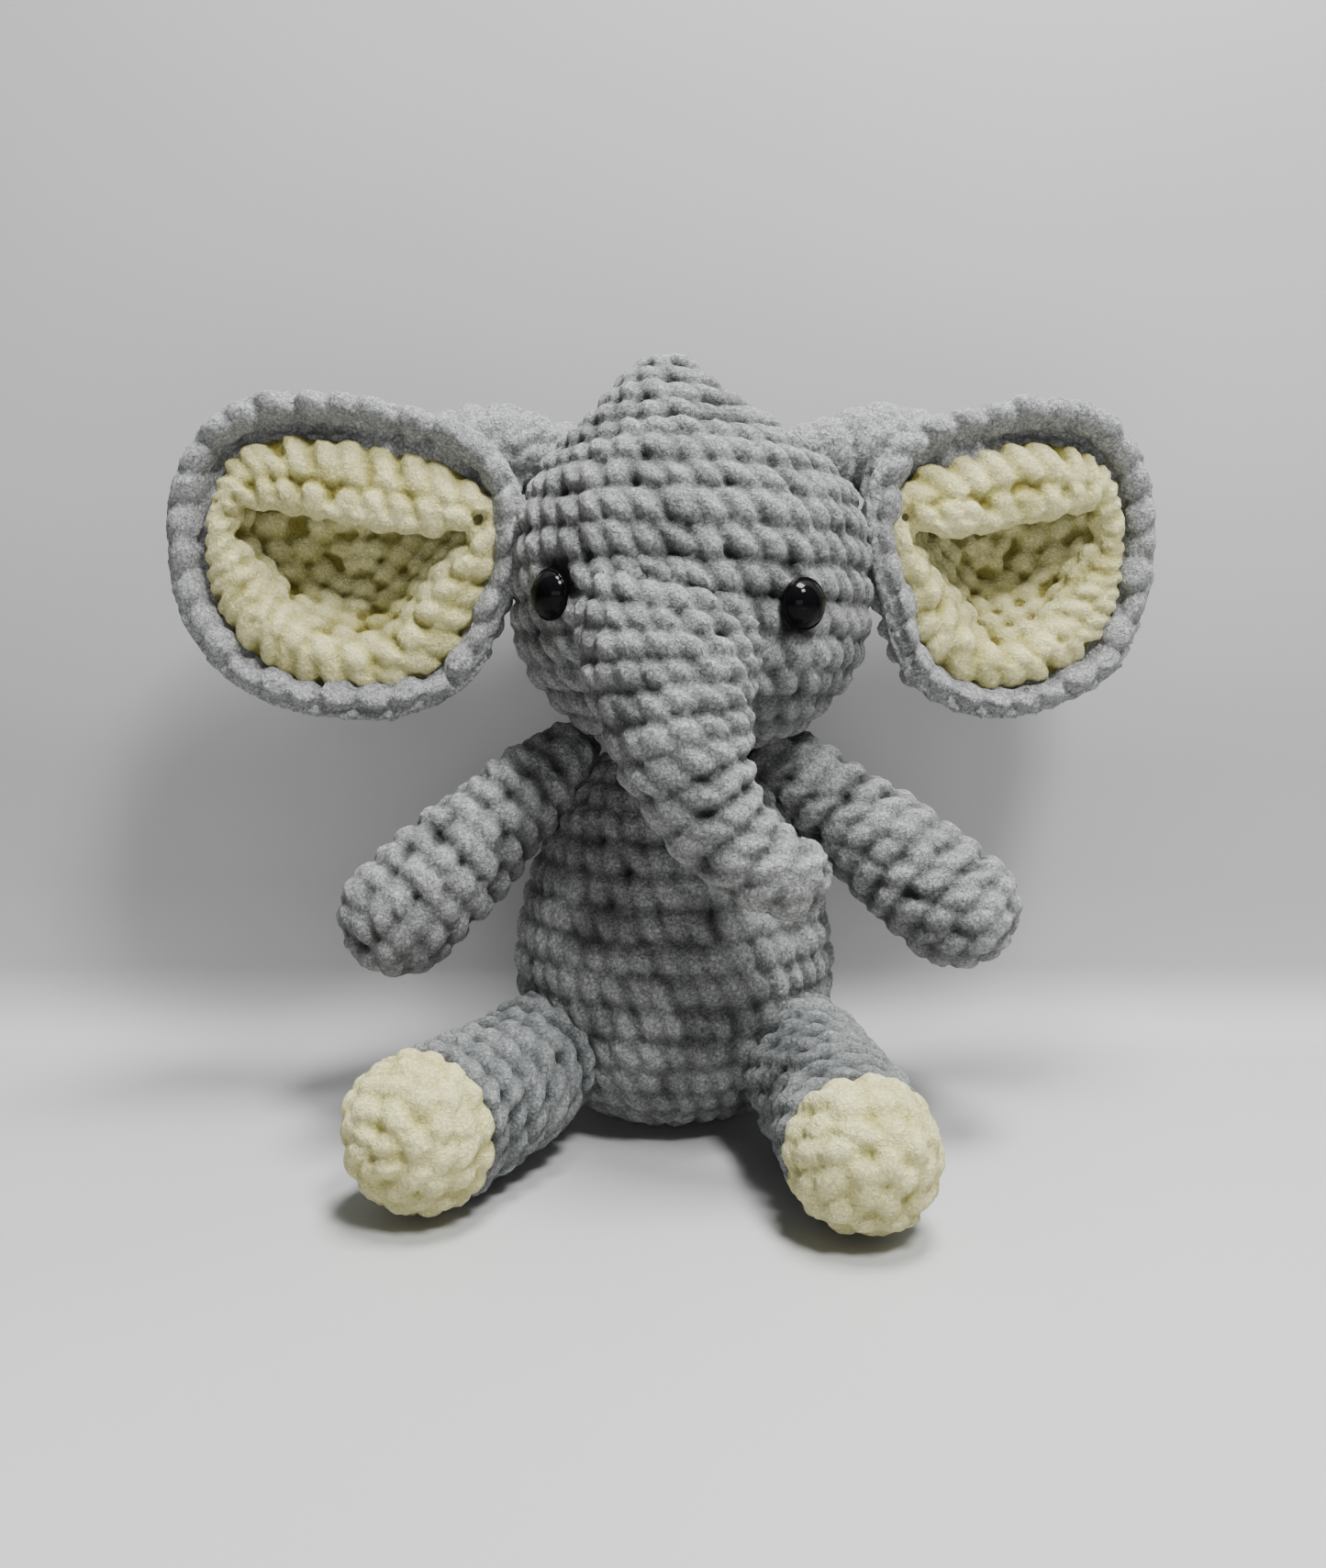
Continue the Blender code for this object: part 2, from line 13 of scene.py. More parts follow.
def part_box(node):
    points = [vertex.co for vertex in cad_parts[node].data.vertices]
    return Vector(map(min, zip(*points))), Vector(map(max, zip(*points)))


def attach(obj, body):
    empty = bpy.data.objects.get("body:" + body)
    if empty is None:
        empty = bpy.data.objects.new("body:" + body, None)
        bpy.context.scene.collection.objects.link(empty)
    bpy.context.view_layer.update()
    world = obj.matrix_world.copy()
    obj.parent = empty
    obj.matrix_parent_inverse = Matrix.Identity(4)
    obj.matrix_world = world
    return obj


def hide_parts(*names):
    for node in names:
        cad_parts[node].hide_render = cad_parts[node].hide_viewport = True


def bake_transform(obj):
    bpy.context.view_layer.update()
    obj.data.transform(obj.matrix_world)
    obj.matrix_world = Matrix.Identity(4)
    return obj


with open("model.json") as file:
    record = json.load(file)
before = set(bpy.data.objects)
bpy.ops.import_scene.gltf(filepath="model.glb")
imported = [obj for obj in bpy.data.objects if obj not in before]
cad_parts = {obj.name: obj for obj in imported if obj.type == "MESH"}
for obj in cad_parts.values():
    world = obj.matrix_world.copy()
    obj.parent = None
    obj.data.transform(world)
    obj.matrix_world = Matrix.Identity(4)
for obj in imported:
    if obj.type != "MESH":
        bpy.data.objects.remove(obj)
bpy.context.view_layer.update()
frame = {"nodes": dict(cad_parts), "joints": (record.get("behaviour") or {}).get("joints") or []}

MM = 0.001
VOXEL = 0.00085
YARN_VOXEL = 0.0006
COLUMNS = 96  # points round a fabric
RINGS = 72  # rings along it
LINE_POINTS = 60  # points along the middle line of a tube
JOINT = {j["name"]: np.array(j["pos_m"]) for j in frame["joints"]}
SIDES = ("left", "right")
rng = np.random.default_rng(7)

# How each piece is crocheted. row: height of its rounds. pitch: how far apart its stitches stand. lean: how
# far they lean, in degrees. depth: how thick they are. second: size of the small lump beside each. full: how
# much they fill their width. wild: how uneven they are. core: how deep the closed inside lies under the
# surface. groove_shade: from which depth on the grooves are fully dark with painted shade. Lengths are in
# millimetres.
CROCHET = {
    "body": dict(row=9.7, pitch=7.4, lean=14, depth=4.6, second=0.4, full=1.14, core=4.2, groove_shade=3.4),
    "head": dict(row=10, pitch=8.6, lean=30, depth=4.6, second=0.5, core=4.8, groove_shade=3.8),
    "trunk": dict(row=9.4, pitch=8.4, lean=26, depth=4.5, second=0.3, core=4.5, groove_shade=3.7),
    "arm": dict(row=8.3, pitch=9.4, lean=20, depth=4.4, second=0.55, wild=2.2, core=4.4, groove_shade=3.6),
    "leg": dict(row=8.6, pitch=7.8, lean=28, depth=4.0, second=0.45, wild=1.2, core=4.2, groove_shade=3.5),
    "sole": dict(row=8.2, pitch=8.8, lean=16, depth=5.0, second=0.6, full=1.06, wild=1.5, core=4.9,
                 groove_shade=4.2),
    "ear_band": dict(pitch=7.6, lean=20, depth=4.4, second=0),
    "ear_rope": dict(pitch=10.0, lean=18, depth=5.4, second=0, full=0.98),
    "ear_back": dict(row=9.3, pitch=8.6, lean=28, depth=4.1, second=0.5),
    "ear_fold": dict(row=8.8, pitch=8.0, lean=28, depth=3.9, second=0.5),
    "cup_edge": dict(pitch=9.0, lean=20, depth=4.2, second=0.35),
    "cup_lip": dict(pitch=8.4, lean=15, depth=4.0, second=0.35),
    "cup_wall": dict(pitch=7.4, lean=10, depth=3.0, second=0, full=1.04),
    "cup_floor": dict(pitch=7.4, lean=10, depth=3.0, second=0, full=1.06),
}


# ---------------------------------------------------------------- numbers into surfaces

def spline(values, count, closed=False):
    """Rows on the smooth curve through the given rows, at even steps of its parameter."""
    values = np.asarray(values, float)
    n = len(values)
    t = np.arange(count) * n / count if closed else np.linspace(0, n - 1, count)
    first = np.minimum(t.astype(int), n - 1 if closed else n - 2)
    part = (t - first).reshape((-1,) + (1,) * (values.ndim - 1))

    def row(step):
        index = first + step
        return values[np.mod(index, n) if closed else np.clip(index, 0, n - 1)]

    a, b, c, d = row(-1), row(0), row(1), row(2)
    return 0.5 * (2 * b + (c - a) * part + (2 * a - 5 * b + 4 * c - d) * part ** 2
                  + (3 * b - a - 3 * c + d) * part ** 3)


def even(points, count):
    """Rows at even distances along a line of rows; the distance uses the first three values."""
    points = np.asarray(points, float)
    steps = np.linalg.norm(np.diff(points[:, :3], axis=0), axis=1)
    along = np.concatenate([[0], np.cumsum(steps)])
    at = np.linspace(0, along[-1], count)
    return np.stack([np.interp(at, along, points[:, k]) for k in range(points.shape[1])], axis=1)


def unit(vectors):
    return vectors / np.maximum(np.linalg.norm(vectors, axis=-1, keepdims=True), 1e-12)


class Fabric:
    """A crocheted surface: a grid of points, rings by columns, closed round the columns."""

    def __init__(self, grid, facing=None):
        self.grid = grid
        self.around = (np.roll(grid, -1, 1) - np.roll(grid, 1, 1)) / 2
        self.along = np.gradient(grid, axis=0)
        normal = unit(np.cross(self.around, self.along))
        outwards = grid - grid.mean((0, 1)) if facing is None else np.asarray(facing, float)
        if (normal * outwards).sum() < 0:
            normal = -normal
        self.normal = normal

    def at(self, rings, columns, table=None):
        """Values of a table of the grid at fractional ring and column places."""
        table = self.grid if table is None else table
        r = np.clip(rings, 0, len(table) - 1.001)
        c = np.mod(columns, table.shape[1])
        r0, c0 = r.astype(int), c.astype(int)
        c1 = (c0 + 1) % table.shape[1]
        fr, fc = (r - r0)[:, None], (c - c0)[:, None]
        return ((table[r0, c0] * (1 - fc) + table[r0, c1] * fc) * (1 - fr)
                + (table[r0 + 1, c0] * (1 - fc) + table[r0 + 1, c1] * fc) * fr)

    def bands(self, pitch, first=0.0, last=1.0):
        """Ring places that cut the fabric into rows about pitch high."""
        steps = np.linalg.norm(np.diff(self.grid, axis=0), axis=2).mean(1)
        along = np.concatenate([[0], np.cumsum(steps)])
        low, high = along[-1] * first, along[-1] * last
        rows = max(1, round((high - low) / pitch))
        return np.interp(np.linspace(low, high, rows + 1), along, np.arange(len(along)))


CAP_TURNS = (86, 10, 9)  # degrees from the pole of a round end to its rim, and how many rings between


def tube(line, caps=(True, True), sides=COLUMNS, rings=RINGS, up=(0, 0, 1), level=None):
    """A fabric round a smooth line of (x, y, z, radius) in metres, with round ends.

    A level of 1 keeps the rings level from front to back, and 0 keeps them square to the line.
    """
    line = even(spline(line, LINE_POINTS), LINE_POINTS)
    ahead = unit(np.gradient(line[:, :3], axis=0))
    if level is not None:
        share = np.interp(np.linspace(0, 1, LINE_POINTS), np.linspace(0, 1, len(level)), level)
        ahead[:, 1] *= 1 - share
        ahead = unit(ahead)
    stations = [(p[:3], d, p[3]) for p, d in zip(line, ahead)]
    turns = np.radians(np.linspace(*CAP_TURNS))
    if caps[0]:
        p, d, r = stations[0]
        stations = [(p - d * r * math.sin(t), d, r * math.cos(t)) for t in turns] + stations
    if caps[1]:
        p, d, r = stations[-1]
        stations += [(p + d * r * math.sin(t), d, r * math.cos(t)) for t in turns[::-1]]
    angle = 2 * math.pi * np.arange(sides) / sides
    made = []
    for p, d, r in stations:
        side = unit(np.cross(d, up))
        over = np.cross(side, d)
        made.append(p + r * (np.cos(angle)[:, None] * side + np.sin(angle)[:, None] * over))
    made = np.array(made)
    steps = np.linalg.norm(np.diff(made, axis=0), axis=2).max(1)
    reach = np.concatenate([[0], np.cumsum(steps)])
    at = np.linspace(0, reach[-1], rings)
    place = np.interp(at, reach, np.arange(len(reach)))
    low = np.minimum(place.astype(int), len(made) - 2)
    part = (place - low)[:, None, None]
    return Fabric(made[low] * (1 - part) + made[low + 1] * part)


def turned(outline, centre, shape=None):
    """A fabric turned round a vertical axis from (radius, height) rows; shape moves its points."""
    outline = even(np.pad(spline(outline, 80), ((0, 0), (0, 1))), RINGS)
    angle = 2 * math.pi * np.arange(COLUMNS) / COLUMNS
    grid = np.empty((RINGS, COLUMNS, 3))
    grid[..., 0] = centre[0] + outline[:, :1] * np.cos(angle)
    grid[..., 1] = centre[1] + outline[:, :1] * np.sin(angle)
    grid[..., 2] = outline[:, 1:2]
    return Fabric(shape(grid) if shape else grid)


# ---------------------------------------------------------------- stitches

SQUARE = 3.4  # how square a puff is from above: 2 is round
DOME = 2.3  # how flat its top is: 2 is round


def ball():
    """The points and faces of one puff of radius 1, fuller and squarer than a sphere."""
    mesh = bmesh.new()
    bmesh.ops.create_icosphere(mesh, subdivisions=2, radius=1)
    points = np.array([v.co for v in mesh.verts])
    faces = np.array([[v.index for v in f.verts] for f in mesh.faces])
    mesh.free()
    flat = np.abs(points[:, :2])
    radius = np.linalg.norm(flat, axis=1)
    squarer = (flat ** SQUARE).sum(1) ** (1 / SQUARE)
    fuller = (radius ** DOME + np.abs(points[:, 2]) ** DOME) ** (1 / DOME)
    points[:, :2] *= (radius / np.maximum(squarer, 1e-9))[:, None]
    return points / fuller[:, None], faces


BALL, BALL_FACES = ball()


class Puffs:
    """A list of oval puffs, each with a centre, three axes and three radii."""

    def __init__(self):
        self.centres, self.frames, self.radii = [], [], []

    def add(self, centre, long, wide, out, radii):
        self.centres.append(centre)
        self.frames.append(np.stack([long, wide, out], axis=1))
        self.radii.append(radii)

    def mesh(self):
        if not self.centres:
            return np.zeros((0, 3)), np.zeros((0, 3), int)
        centre = np.concatenate(self.centres)
        axes = np.concatenate(self.frames)
        radii = np.concatenate(self.radii)
        points = centre[:, None] + np.einsum("pk,nk,nkx->npx", BALL, radii, axes)
        starts = len(BALL) * np.arange(len(centre))
        return points.reshape(-1, 3), (BALL_FACES[None] + starts[:, None, None]).reshape(-1, 3)


LEAST = 5  # stitches in the smallest round
STAGGER = 0.5  # share of a stitch by which every second round is shifted
HALF_WIDE, HALF_HIGH = 0.505, 0.507  # a puff's radii as shares of its stitch, so that neighbours just meet
SUNK = 0.98  # share of its thickness by which a puff's middle lies under the surface
STRAY, RISE = 0.09, 0.04  # how far a stitch strays, as shares of its width and of its row's height
SWAY = 6  # degrees by which its lean varies
SECOND_UP, SECOND_ASIDE, SECOND_SUNK = 0.3, 0.45, 0.28  # its small lump: shares of height, width, depth


def stitch(puffs, fabric, kind, bands=None, skip=None, crowd=None):
    """Rows of stitches between the bands: a leaning puff each, and a smaller sunk one beside it.

    skip tells which places stay bare, and crowd how many times closer the stitches stand at a place.
    """
    look = CROCHET[kind]
    bands = fabric.bands(look["row"] * MM) if bands is None else bands
    pitch, depth, second = look["pitch"] * MM, look["depth"] * MM, look["second"]
    full, wild = look.get("full", 1.0), look.get("wild", 1.0)
    tilt = math.radians(look["lean"])
    for k, (low, high) in enumerate(zip(bands, bands[1:])):
        middle = (low + high) / 2
        fine = np.arange(0, fabric.grid.shape[1], 0.5)
        ring = fabric.at(np.full(len(fine), middle), fine)
        step = np.linalg.norm(np.roll(ring, -1, 0) - ring, axis=1)
        weight = step if crowd is None else step * crowd(ring)
        reach = np.concatenate([[0], np.cumsum(weight)])
        count = max(LEAST, round(reach[-1] / pitch))
        places = (np.arange(count) + STAGGER * (k % 2) + rng.uniform(-STRAY, STRAY, count) * wild) / count % 1
        columns = np.interp(places * reach[-1], reach, np.append(fine, fabric.grid.shape[1]))
        rings = middle + rng.uniform(-RISE, RISE, count) * (high - low) * wild
        here = fabric.at(rings, columns)
        reach_up = fabric.at(np.full(count, high), columns) - fabric.at(np.full(count, low), columns)
        local = np.interp(columns, fine, step / weight if crowd is not None else np.ones(len(fine)))
        width = reach[-1] / count * local
        out = unit(fabric.at(rings, columns, fabric.normal))
        right = unit(fabric.at(rings, columns, fabric.around))
        up = np.cross(out, right)
        flip = np.sign((up * reach_up).sum(1, keepdims=True))
        up, right = up * flip, right * flip
        height = (up * reach_up).sum(1)
        keep = np.ones(count, bool) if skip is None else ~skip(here)
        turn = tilt + np.radians(rng.normal(0, SWAY, count)) * wild
        long, wide = up - np.tan(turn)[:, None] * right, right
        across = HALF_WIDE * width * full
        length = HALF_HIGH * height * full
        swell = depth * rng.uniform(0.9, 1.06, count)
        centre = here - out * (swell * SUNK)[:, None]
        size = np.stack([length, across, swell], axis=1) * rng.uniform(0.94, 1.06, (count, 3))
        if second:
            side = centre + long * (height * SECOND_UP)[:, None] + right * (width * SECOND_ASIDE)[:, None]
            side -= out * (depth * SECOND_SUNK)
            small = size * [second * 0.75, second * 0.8, 0.85] * rng.uniform(0.85, 1.15, (count, 1))
            puffs.add(side[keep], long[keep], wide[keep], out[keep], small[keep])
        puffs.add(centre[keep], long[keep], wide[keep], out[keep], size[keep])


def core(fabric, inset, thickness=None):
    """The closed inside of a fabric, inset under its stitches: solid, or a sheet if given a thickness."""
    outer = fabric.grid - fabric.normal * inset
    rings, columns = outer.shape[:2]
    points = [outer.reshape(-1, 3)]
    faces = quads(rings, columns, 0, False)
    if thickness is None:
        points += [outer[0].mean(0)[None], outer[-1].mean(0)[None]]
        low, high = rings * columns, rings * columns + 1
        top = (rings - 1) * columns
        for j in range(columns):
            k = (j + 1) % columns
            faces += [[low, k, j], [high, top + j, top + k]]
    else:
        inner = fabric.grid - fabric.normal * (inset + thickness)
        points.append(inner.reshape(-1, 3))
        start = rings * columns
        faces += quads(rings, columns, start, True)
        top = (rings - 1) * columns
        for j in range(columns):
            k = (j + 1) % columns
            faces += [[j, start + j, start + k], [j, start + k, k]]
            faces += [[top + k, start + top + k, start + top + j], [top + k, start + top + j, top + j]]
    return np.concatenate(points), np.array(faces)


def quads(rings, columns, start, turn):
    """Triangles between the rings of a grid whose first point has the number start."""
    made = []
    for i in range(rings - 1):
        for j in range(columns):
            k = (j + 1) % columns
            a, b = start + i * columns + j, start + i * columns + k
            c, d = b + columns, a + columns
            made += [[c, b, a], [d, c, a]] if turn else [[a, b, c], [a, c, d]]
    return made


# ---------------------------------------------------------------- noise

def wobble(points, size, seed):
    """Smooth vectors, about 1 long, that change over the given size."""
    draw = np.random.default_rng(seed)
    moved = np.zeros_like(points)
    for _ in range(5):
        wave = unit(draw.normal(size=3)) * 2 * math.pi / size / draw.uniform(0.8, 1.4)
        moved += unit(draw.normal(size=3)) * np.sin(points @ wave + draw.uniform(0, 6.28))[:, None]
    return moved / 2


def grain(points, size, seed):
    """Smooth noise from -1 to 1, one value a point, in lumps of the given size."""
    cell = points / size
    low = np.floor(cell).astype(np.int64)
    part = cell - low
    part = part * part * (3 - 2 * part)
    total = np.zeros(len(points))
    for corner in np.ndindex(2, 2, 2):
        c = low + corner
        mixed = (c[:, 0] * 73856093 ^ c[:, 1] * 19349663 ^ c[:, 2] * 83492791 ^ seed * 2654435) & 0xFFFFFFFF
        mixed = (mixed ^ (mixed >> 13)) * 1274126177 & 0xFFFFFFFF
        value = ((mixed ^ (mixed >> 16)) & 0xFFFF) / 32767.5 - 1
        share = np.prod(np.where(corner, part, 1 - part), axis=1)
        total += value * share
    return total


# ---------------------------------------------------------------- pieces

def new_object(name, points, faces, material):
    mesh = bpy.data.meshes.new(name)
    mesh.from_pydata(points.tolist(), [], faces.tolist() if hasattr(faces, "tolist") else faces)
    mesh.materials.append(material)
    obj = bpy.data.objects.new(name, mesh)
    bpy.context.scene.collection.objects.link(obj)
    return obj


WOBBLES = ((26, 11, 0.7), (6, 12, 0.45))  # size in mm, seed and height in mm of the uneven handwork
FUZZ = ((1.6, 3, 0.24), (1.0, 4, 0.16))  # the same of the pile


def knit(name, material, fabrics, puffs, inset, sheet=None, rough=1.0, soften=2, deep=4.0, voxel=VOXEL):
    """One piece: stitches over the core of their fabric, fused, softened, and given its fuzz.

    Its lift attribute runs from 0 in the grooves, deep under the fabric, to 1 on the stitches; the yarn
    materials paint shade into the grooves by it.
    """
    fabrics = fabrics if isinstance(fabrics, list) else [fabrics]
    parts = [core(f, inset * MM, sheet * MM if sheet else None) for f in fabrics] + [puffs.mesh()]
    start, points, faces = 0, [], []
    for p, f in parts:
        points.append(p)
        faces.append(f + start)
        start += len(p)
    points = np.concatenate(points)
    points += sum(wobble(points, size * MM, seed) * height * MM for size, seed, height in WOBBLES)
    obj = new_object(name, points, np.concatenate(faces), material)
    remesh = obj.modifiers.new("fuse", "REMESH")
    remesh.mode = "VOXEL"
    remesh.voxel_size = voxel
    soft = obj.modifiers.new("soften", "SMOOTH")
    soft.factor = 0.5
    soft.iterations = soften
    graph = bpy.context.evaluated_depsgraph_get()
    fused = bpy.data.meshes.new_from_object(obj.evaluated_get(graph))
    obj.modifiers.clear()
    old, obj.data = obj.data, fused
    bpy.data.meshes.remove(old)
    fused.name = name
    count = len(fused.vertices)
    at = np.empty(count * 3)
    fused.vertices.foreach_get("co", at)
    at = at.reshape(-1, 3)
    normal = np.empty(count * 3)
    fused.vertices.foreach_get("normal", normal)
    normal = normal.reshape(-1, 3)
    # The lift is the mask of the painted groove shade: the deeper a point lies under its fabric, the darker
    # the yarn material paints it.
    lift = np.full(count, -1.0)
    for fabric in fabrics:
        grid = fabric.grid[::2, ::2]
        tree = BVHTree.FromPolygons(grid.reshape(-1, 3).tolist(),
                                    quads(grid.shape[0], grid.shape[1], 0, False))
        normals = fabric.normal[::2, ::2].reshape(-1, 3)
        where = [tree.find_nearest(p) for p in at.tolist()]
        near = np.array([w[0] for w in where])
        side = np.array([w[1] for w in where])
        flat = np.array([w[2] for w in where]) // 2
        columns = grid.shape[1]
        toward = normals[(flat // columns) * columns + flat % columns]
        side *= np.sign((side * toward).sum(1, keepdims=True))
        height = ((at - near) * side).sum(1)
        lift = np.maximum(lift, np.clip(1 + height / (deep * MM), 0, 1.2))
    fuzz = sum(grain(at, size * MM, seed) * height for size, seed, height in FUZZ)
    at = at + normal * (fuzz * rough * MM)[:, None]
    at[:, 2] = np.maximum(at[:, 2], 0.0)
    fused.vertices.foreach_set("co", at.ravel())
    store = fused.attributes.new("lift", "FLOAT", "POINT")
    store.data.foreach_set("value", lift.astype(np.float32))
    fused.shade_smooth()
    fused.materials.clear()
    fused.materials.append(material)
    fused.update()
    return obj


# ---------------------------------------------------------------- materials

def nodes_of(name):
    made = bpy.data.materials.new(name)
    made.use_nodes = True
    tree = made.node_tree
    return made, tree, tree.nodes["Principled BSDF"]


def add(tree, kind, inputs=(), **settings):
    """A node with its settings, and its inputs set to values or linked to sockets."""
    node = tree.nodes.new(kind)
    for key, value in settings.items():
        setattr(node, key, value)
    for key, value in dict(inputs).items():
        if isinstance(value, bpy.types.NodeSocket):
            tree.links.new(value, node.inputs[key])
        else:
            node.inputs[key].default_value = value
    return node


def ramp(tree, value, stops):
    """A colour ramp over a value: stops are (place, grey or colour)."""
    node = add(tree, "ShaderNodeValToRGB", {"Fac": value})
    elements = node.color_ramp.elements
    while len(elements) < len(stops):
        elements.new(0.5)
    for element, (place, colour) in zip(elements, stops):
        element.position = place
        element.color = (*colour, 1) if hasattr(colour, "__len__") else (colour, colour, colour, 1)
    return node.outputs["Color"]


def times(tree, a, b, share=1.0):
    node = add(tree, "ShaderNodeMix", data_type="RGBA", blend_type="MULTIPLY")
    node.inputs["Factor"].default_value = share
    for socket, value in ((node.inputs[6], a), (node.inputs[7], b)):
        if isinstance(value, bpy.types.NodeSocket):
            tree.links.new(value, socket)
        else:
            socket.default_value = (*value, 1)
    return node.outputs[2]


def chenille(name, groove_shade, side, top, sheen=0.12, contrast=1.0):
    """Soft cut-pile yarn with painted shade: dark in the grooves and light on the puffs by the lift
    attribute, with a mottled, fuzzy pile.
    """
    made, tree, shader = nodes_of(name)
    place = add(tree, "ShaderNodeTexCoord").outputs["Object"]
    lift = add(tree, "ShaderNodeAttribute", attribute_name="lift", attribute_type="GEOMETRY").outputs["Fac"]
    # Painted shade: the colour runs from painted shade deep in the grooves, through a half-shaded colour on
    # the puffs' flanks, to the yarn's own colour on their tops.
    depth = ramp(tree, lift, [(0.0, groove_shade), (0.45, side), (1.0, top)])
    clumps = add(tree, "ShaderNodeTexNoise", {"Vector": place, "Scale": 850, "Detail": 3, "Roughness": 0.65,
                                              "Distortion": 0.8})
    fibres = add(tree, "ShaderNodeTexVoronoi", {"Vector": place, "Scale": 700}, feature="DISTANCE_TO_EDGE")
    wide = add(tree, "ShaderNodeTexNoise", {"Vector": place, "Scale": 38, "Detail": 2})
    low, high = 1 - 0.45 * contrast, 1 + 0.3 * contrast
    # The pile's mottling: partly its uneven tone, partly painted glints where fibres catch light and painted
    # shade between its clumps.
    pile = ramp(tree, clumps.outputs["Fac"], [(0.34, low), (0.5, 0.92), (0.66, high)])
    # Painted shade along the edges between the pile's tufts.
    tuft_edge_shade = ramp(tree, fibres.outputs["Distance"], [(0.0, 1 - 0.4 * contrast), (0.12, 0.97), (0.4, 1.06)])
    drift = ramp(tree, wide.outputs["Fac"], [(0.3, 0.93), (0.7, 1.05)])
    colour = times(tree, times(tree, times(tree, depth, pile), tuft_edge_shade), drift)
    tree.links.new(colour, shader.inputs["Base Color"])
    fine = add(tree, "ShaderNodeTexNoise", {"Vector": place, "Scale": 1500, "Detail": 4, "Roughness": 0.7})
    bump = add(tree, "ShaderNodeBump", {"Height": clumps.outputs["Fac"], "Strength": 0.9, "Distance": 0.0014})
    bump = add(tree, "ShaderNodeBump", {"Height": fine.outputs["Fac"], "Strength": 0.6, "Distance": 0.0007,
                                        "Normal": bump.outputs["Normal"]})
    tree.links.new(bump.outputs["Normal"], shader.inputs["Normal"])
    shader.inputs["Roughness"].default_value = 0.95
    shader.inputs["Specular IOR Level"].default_value = 0.12
    shader.inputs["Sheen Weight"].default_value = sheen
    shader.inputs["Sheen Roughness"].default_value = 0.45
    return made


def gloss(name, colour, roughness, coat, shine):
    """Moulded plastic with faint unevenness."""
    made, tree, shader = nodes_of(name)
    place = add(tree, "ShaderNodeTexCoord").outputs["Object"]
    waves = add(tree, "ShaderNodeTexNoise", {"Vector": place, "Scale": 160, "Detail": 2})
    darker, lighter = [c * 0.8 for c in colour], [c * 1.2 for c in colour]
    tint = ramp(tree, waves.outputs["Fac"], [(0.3, darker), (0.7, lighter)])
    tree.links.new(tint, shader.inputs["Base Color"])
    bump = add(tree, "ShaderNodeBump", {"Height": waves.outputs["Fac"], "Strength": 0.06, "Distance": 0.0002})
    tree.links.new(bump.outputs["Normal"], shader.inputs["Normal"])
    shader.inputs["Roughness"].default_value = roughness
    shader.inputs["Specular IOR Level"].default_value = shine
    shader.inputs["Coat Weight"].default_value = coat
    shader.inputs["Coat Roughness"].default_value = 0.04
    return made


# Each yarn's three colours: painted shade deep in the grooves, a half-shaded colour for the puffs' flanks,
# and the yarn's own colour on their tops.
GREY = chenille("grey_chenille", (0.028, 0.03, 0.03), (0.125, 0.129, 0.128), (0.335, 0.343, 0.341))
LEG_GREY = chenille("leg_chenille", (0.026, 0.029, 0.029), (0.10, 0.108, 0.108), (0.26, 0.275, 0.275))
CREAM = chenille("cream_chenille", (0.26, 0.225, 0.045), (0.52, 0.48, 0.19), (0.76, 0.72, 0.39), 0.05, 0.35)
EYE = gloss("black_eye", (0.003, 0.003, 0.0035), 0.09, 0.0, 0.08)
WASHER = gloss("washer_plastic", (0.78, 0.78, 0.75), 0.45, 0.0, 0.5)


# ---------------------------------------------------------------- body

def crochet(name, kind, material, fabric, puffs):
    """A stuffed piece, with the core of its kind and the depth at which its grooves take full painted shade.
    """
    look = CROCHET[kind]
    return knit(name, material, fabric, puffs, inset=look["core"], deep=look["groove_shade"])


# Rows of (radius, height) in millimetres.

BODY = np.array([(1, 0), (10, 0), (20, 0.3), (30.5, 4), (39, 12), (45, 22), (48, 32), (49.5, 44), (49, 55),
                 (47, 66), (44.8, 75), (41.5, 84), (38, 92), (34, 99), (29, 105), (22.5, 110), (13, 113),
                 (1, 114)]) * MM


def make_body():
    low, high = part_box("body_shell")
    fabric = turned(BODY, ((low.x + high.x) / 2, 0.0))
    puffs = Puffs()
    stitch(puffs, fabric, "body")
    piece = crochet("body", "body", GREY, fabric, puffs)
    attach(piece, "torso")
    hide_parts("body_shell", "body_stuffing")


# ---------------------------------------------------------------- head and trunk

# Rows of (radius, height) in millimetres.
HEAD = np.array([(1, 111.6), (10, 111.8), (20, 112.8), (34, 118.5), (44, 128), (50.5, 137), (53.5, 146),
                 (54.5, 156), (54.5, 164), (54, 172), (52.5, 180), (50, 187), (45.5, 195), (39, 202),
                 (31.5, 208.5), (25, 213.5), (19.5, 218.5), (13.5, 223.5), (7.5, 227.8), (1, 229.4)]) * MM
HEAD_MIDDLE = np.array([5, -2]) * MM
LEAN, LEAN_FROM, HEAD_TOP = -7.5 * MM, 188 * MM, 229.5 * MM
NOD, ROLL = 0.055, -0.02  # rise of the head's rows towards the front, and towards the right
EYE_BACK = 5.6 * MM  # from the front of the CAD eye to the flange of the dome
EYE_CLEAR = 6.0 * MM  # no stitch stands closer to an eye


def lean_of(z):
    share = np.clip((z - LEAN_FROM) / (HEAD_TOP - LEAN_FROM), 0, 1)
    return LEAN * share * share * (3 - 2 * share)


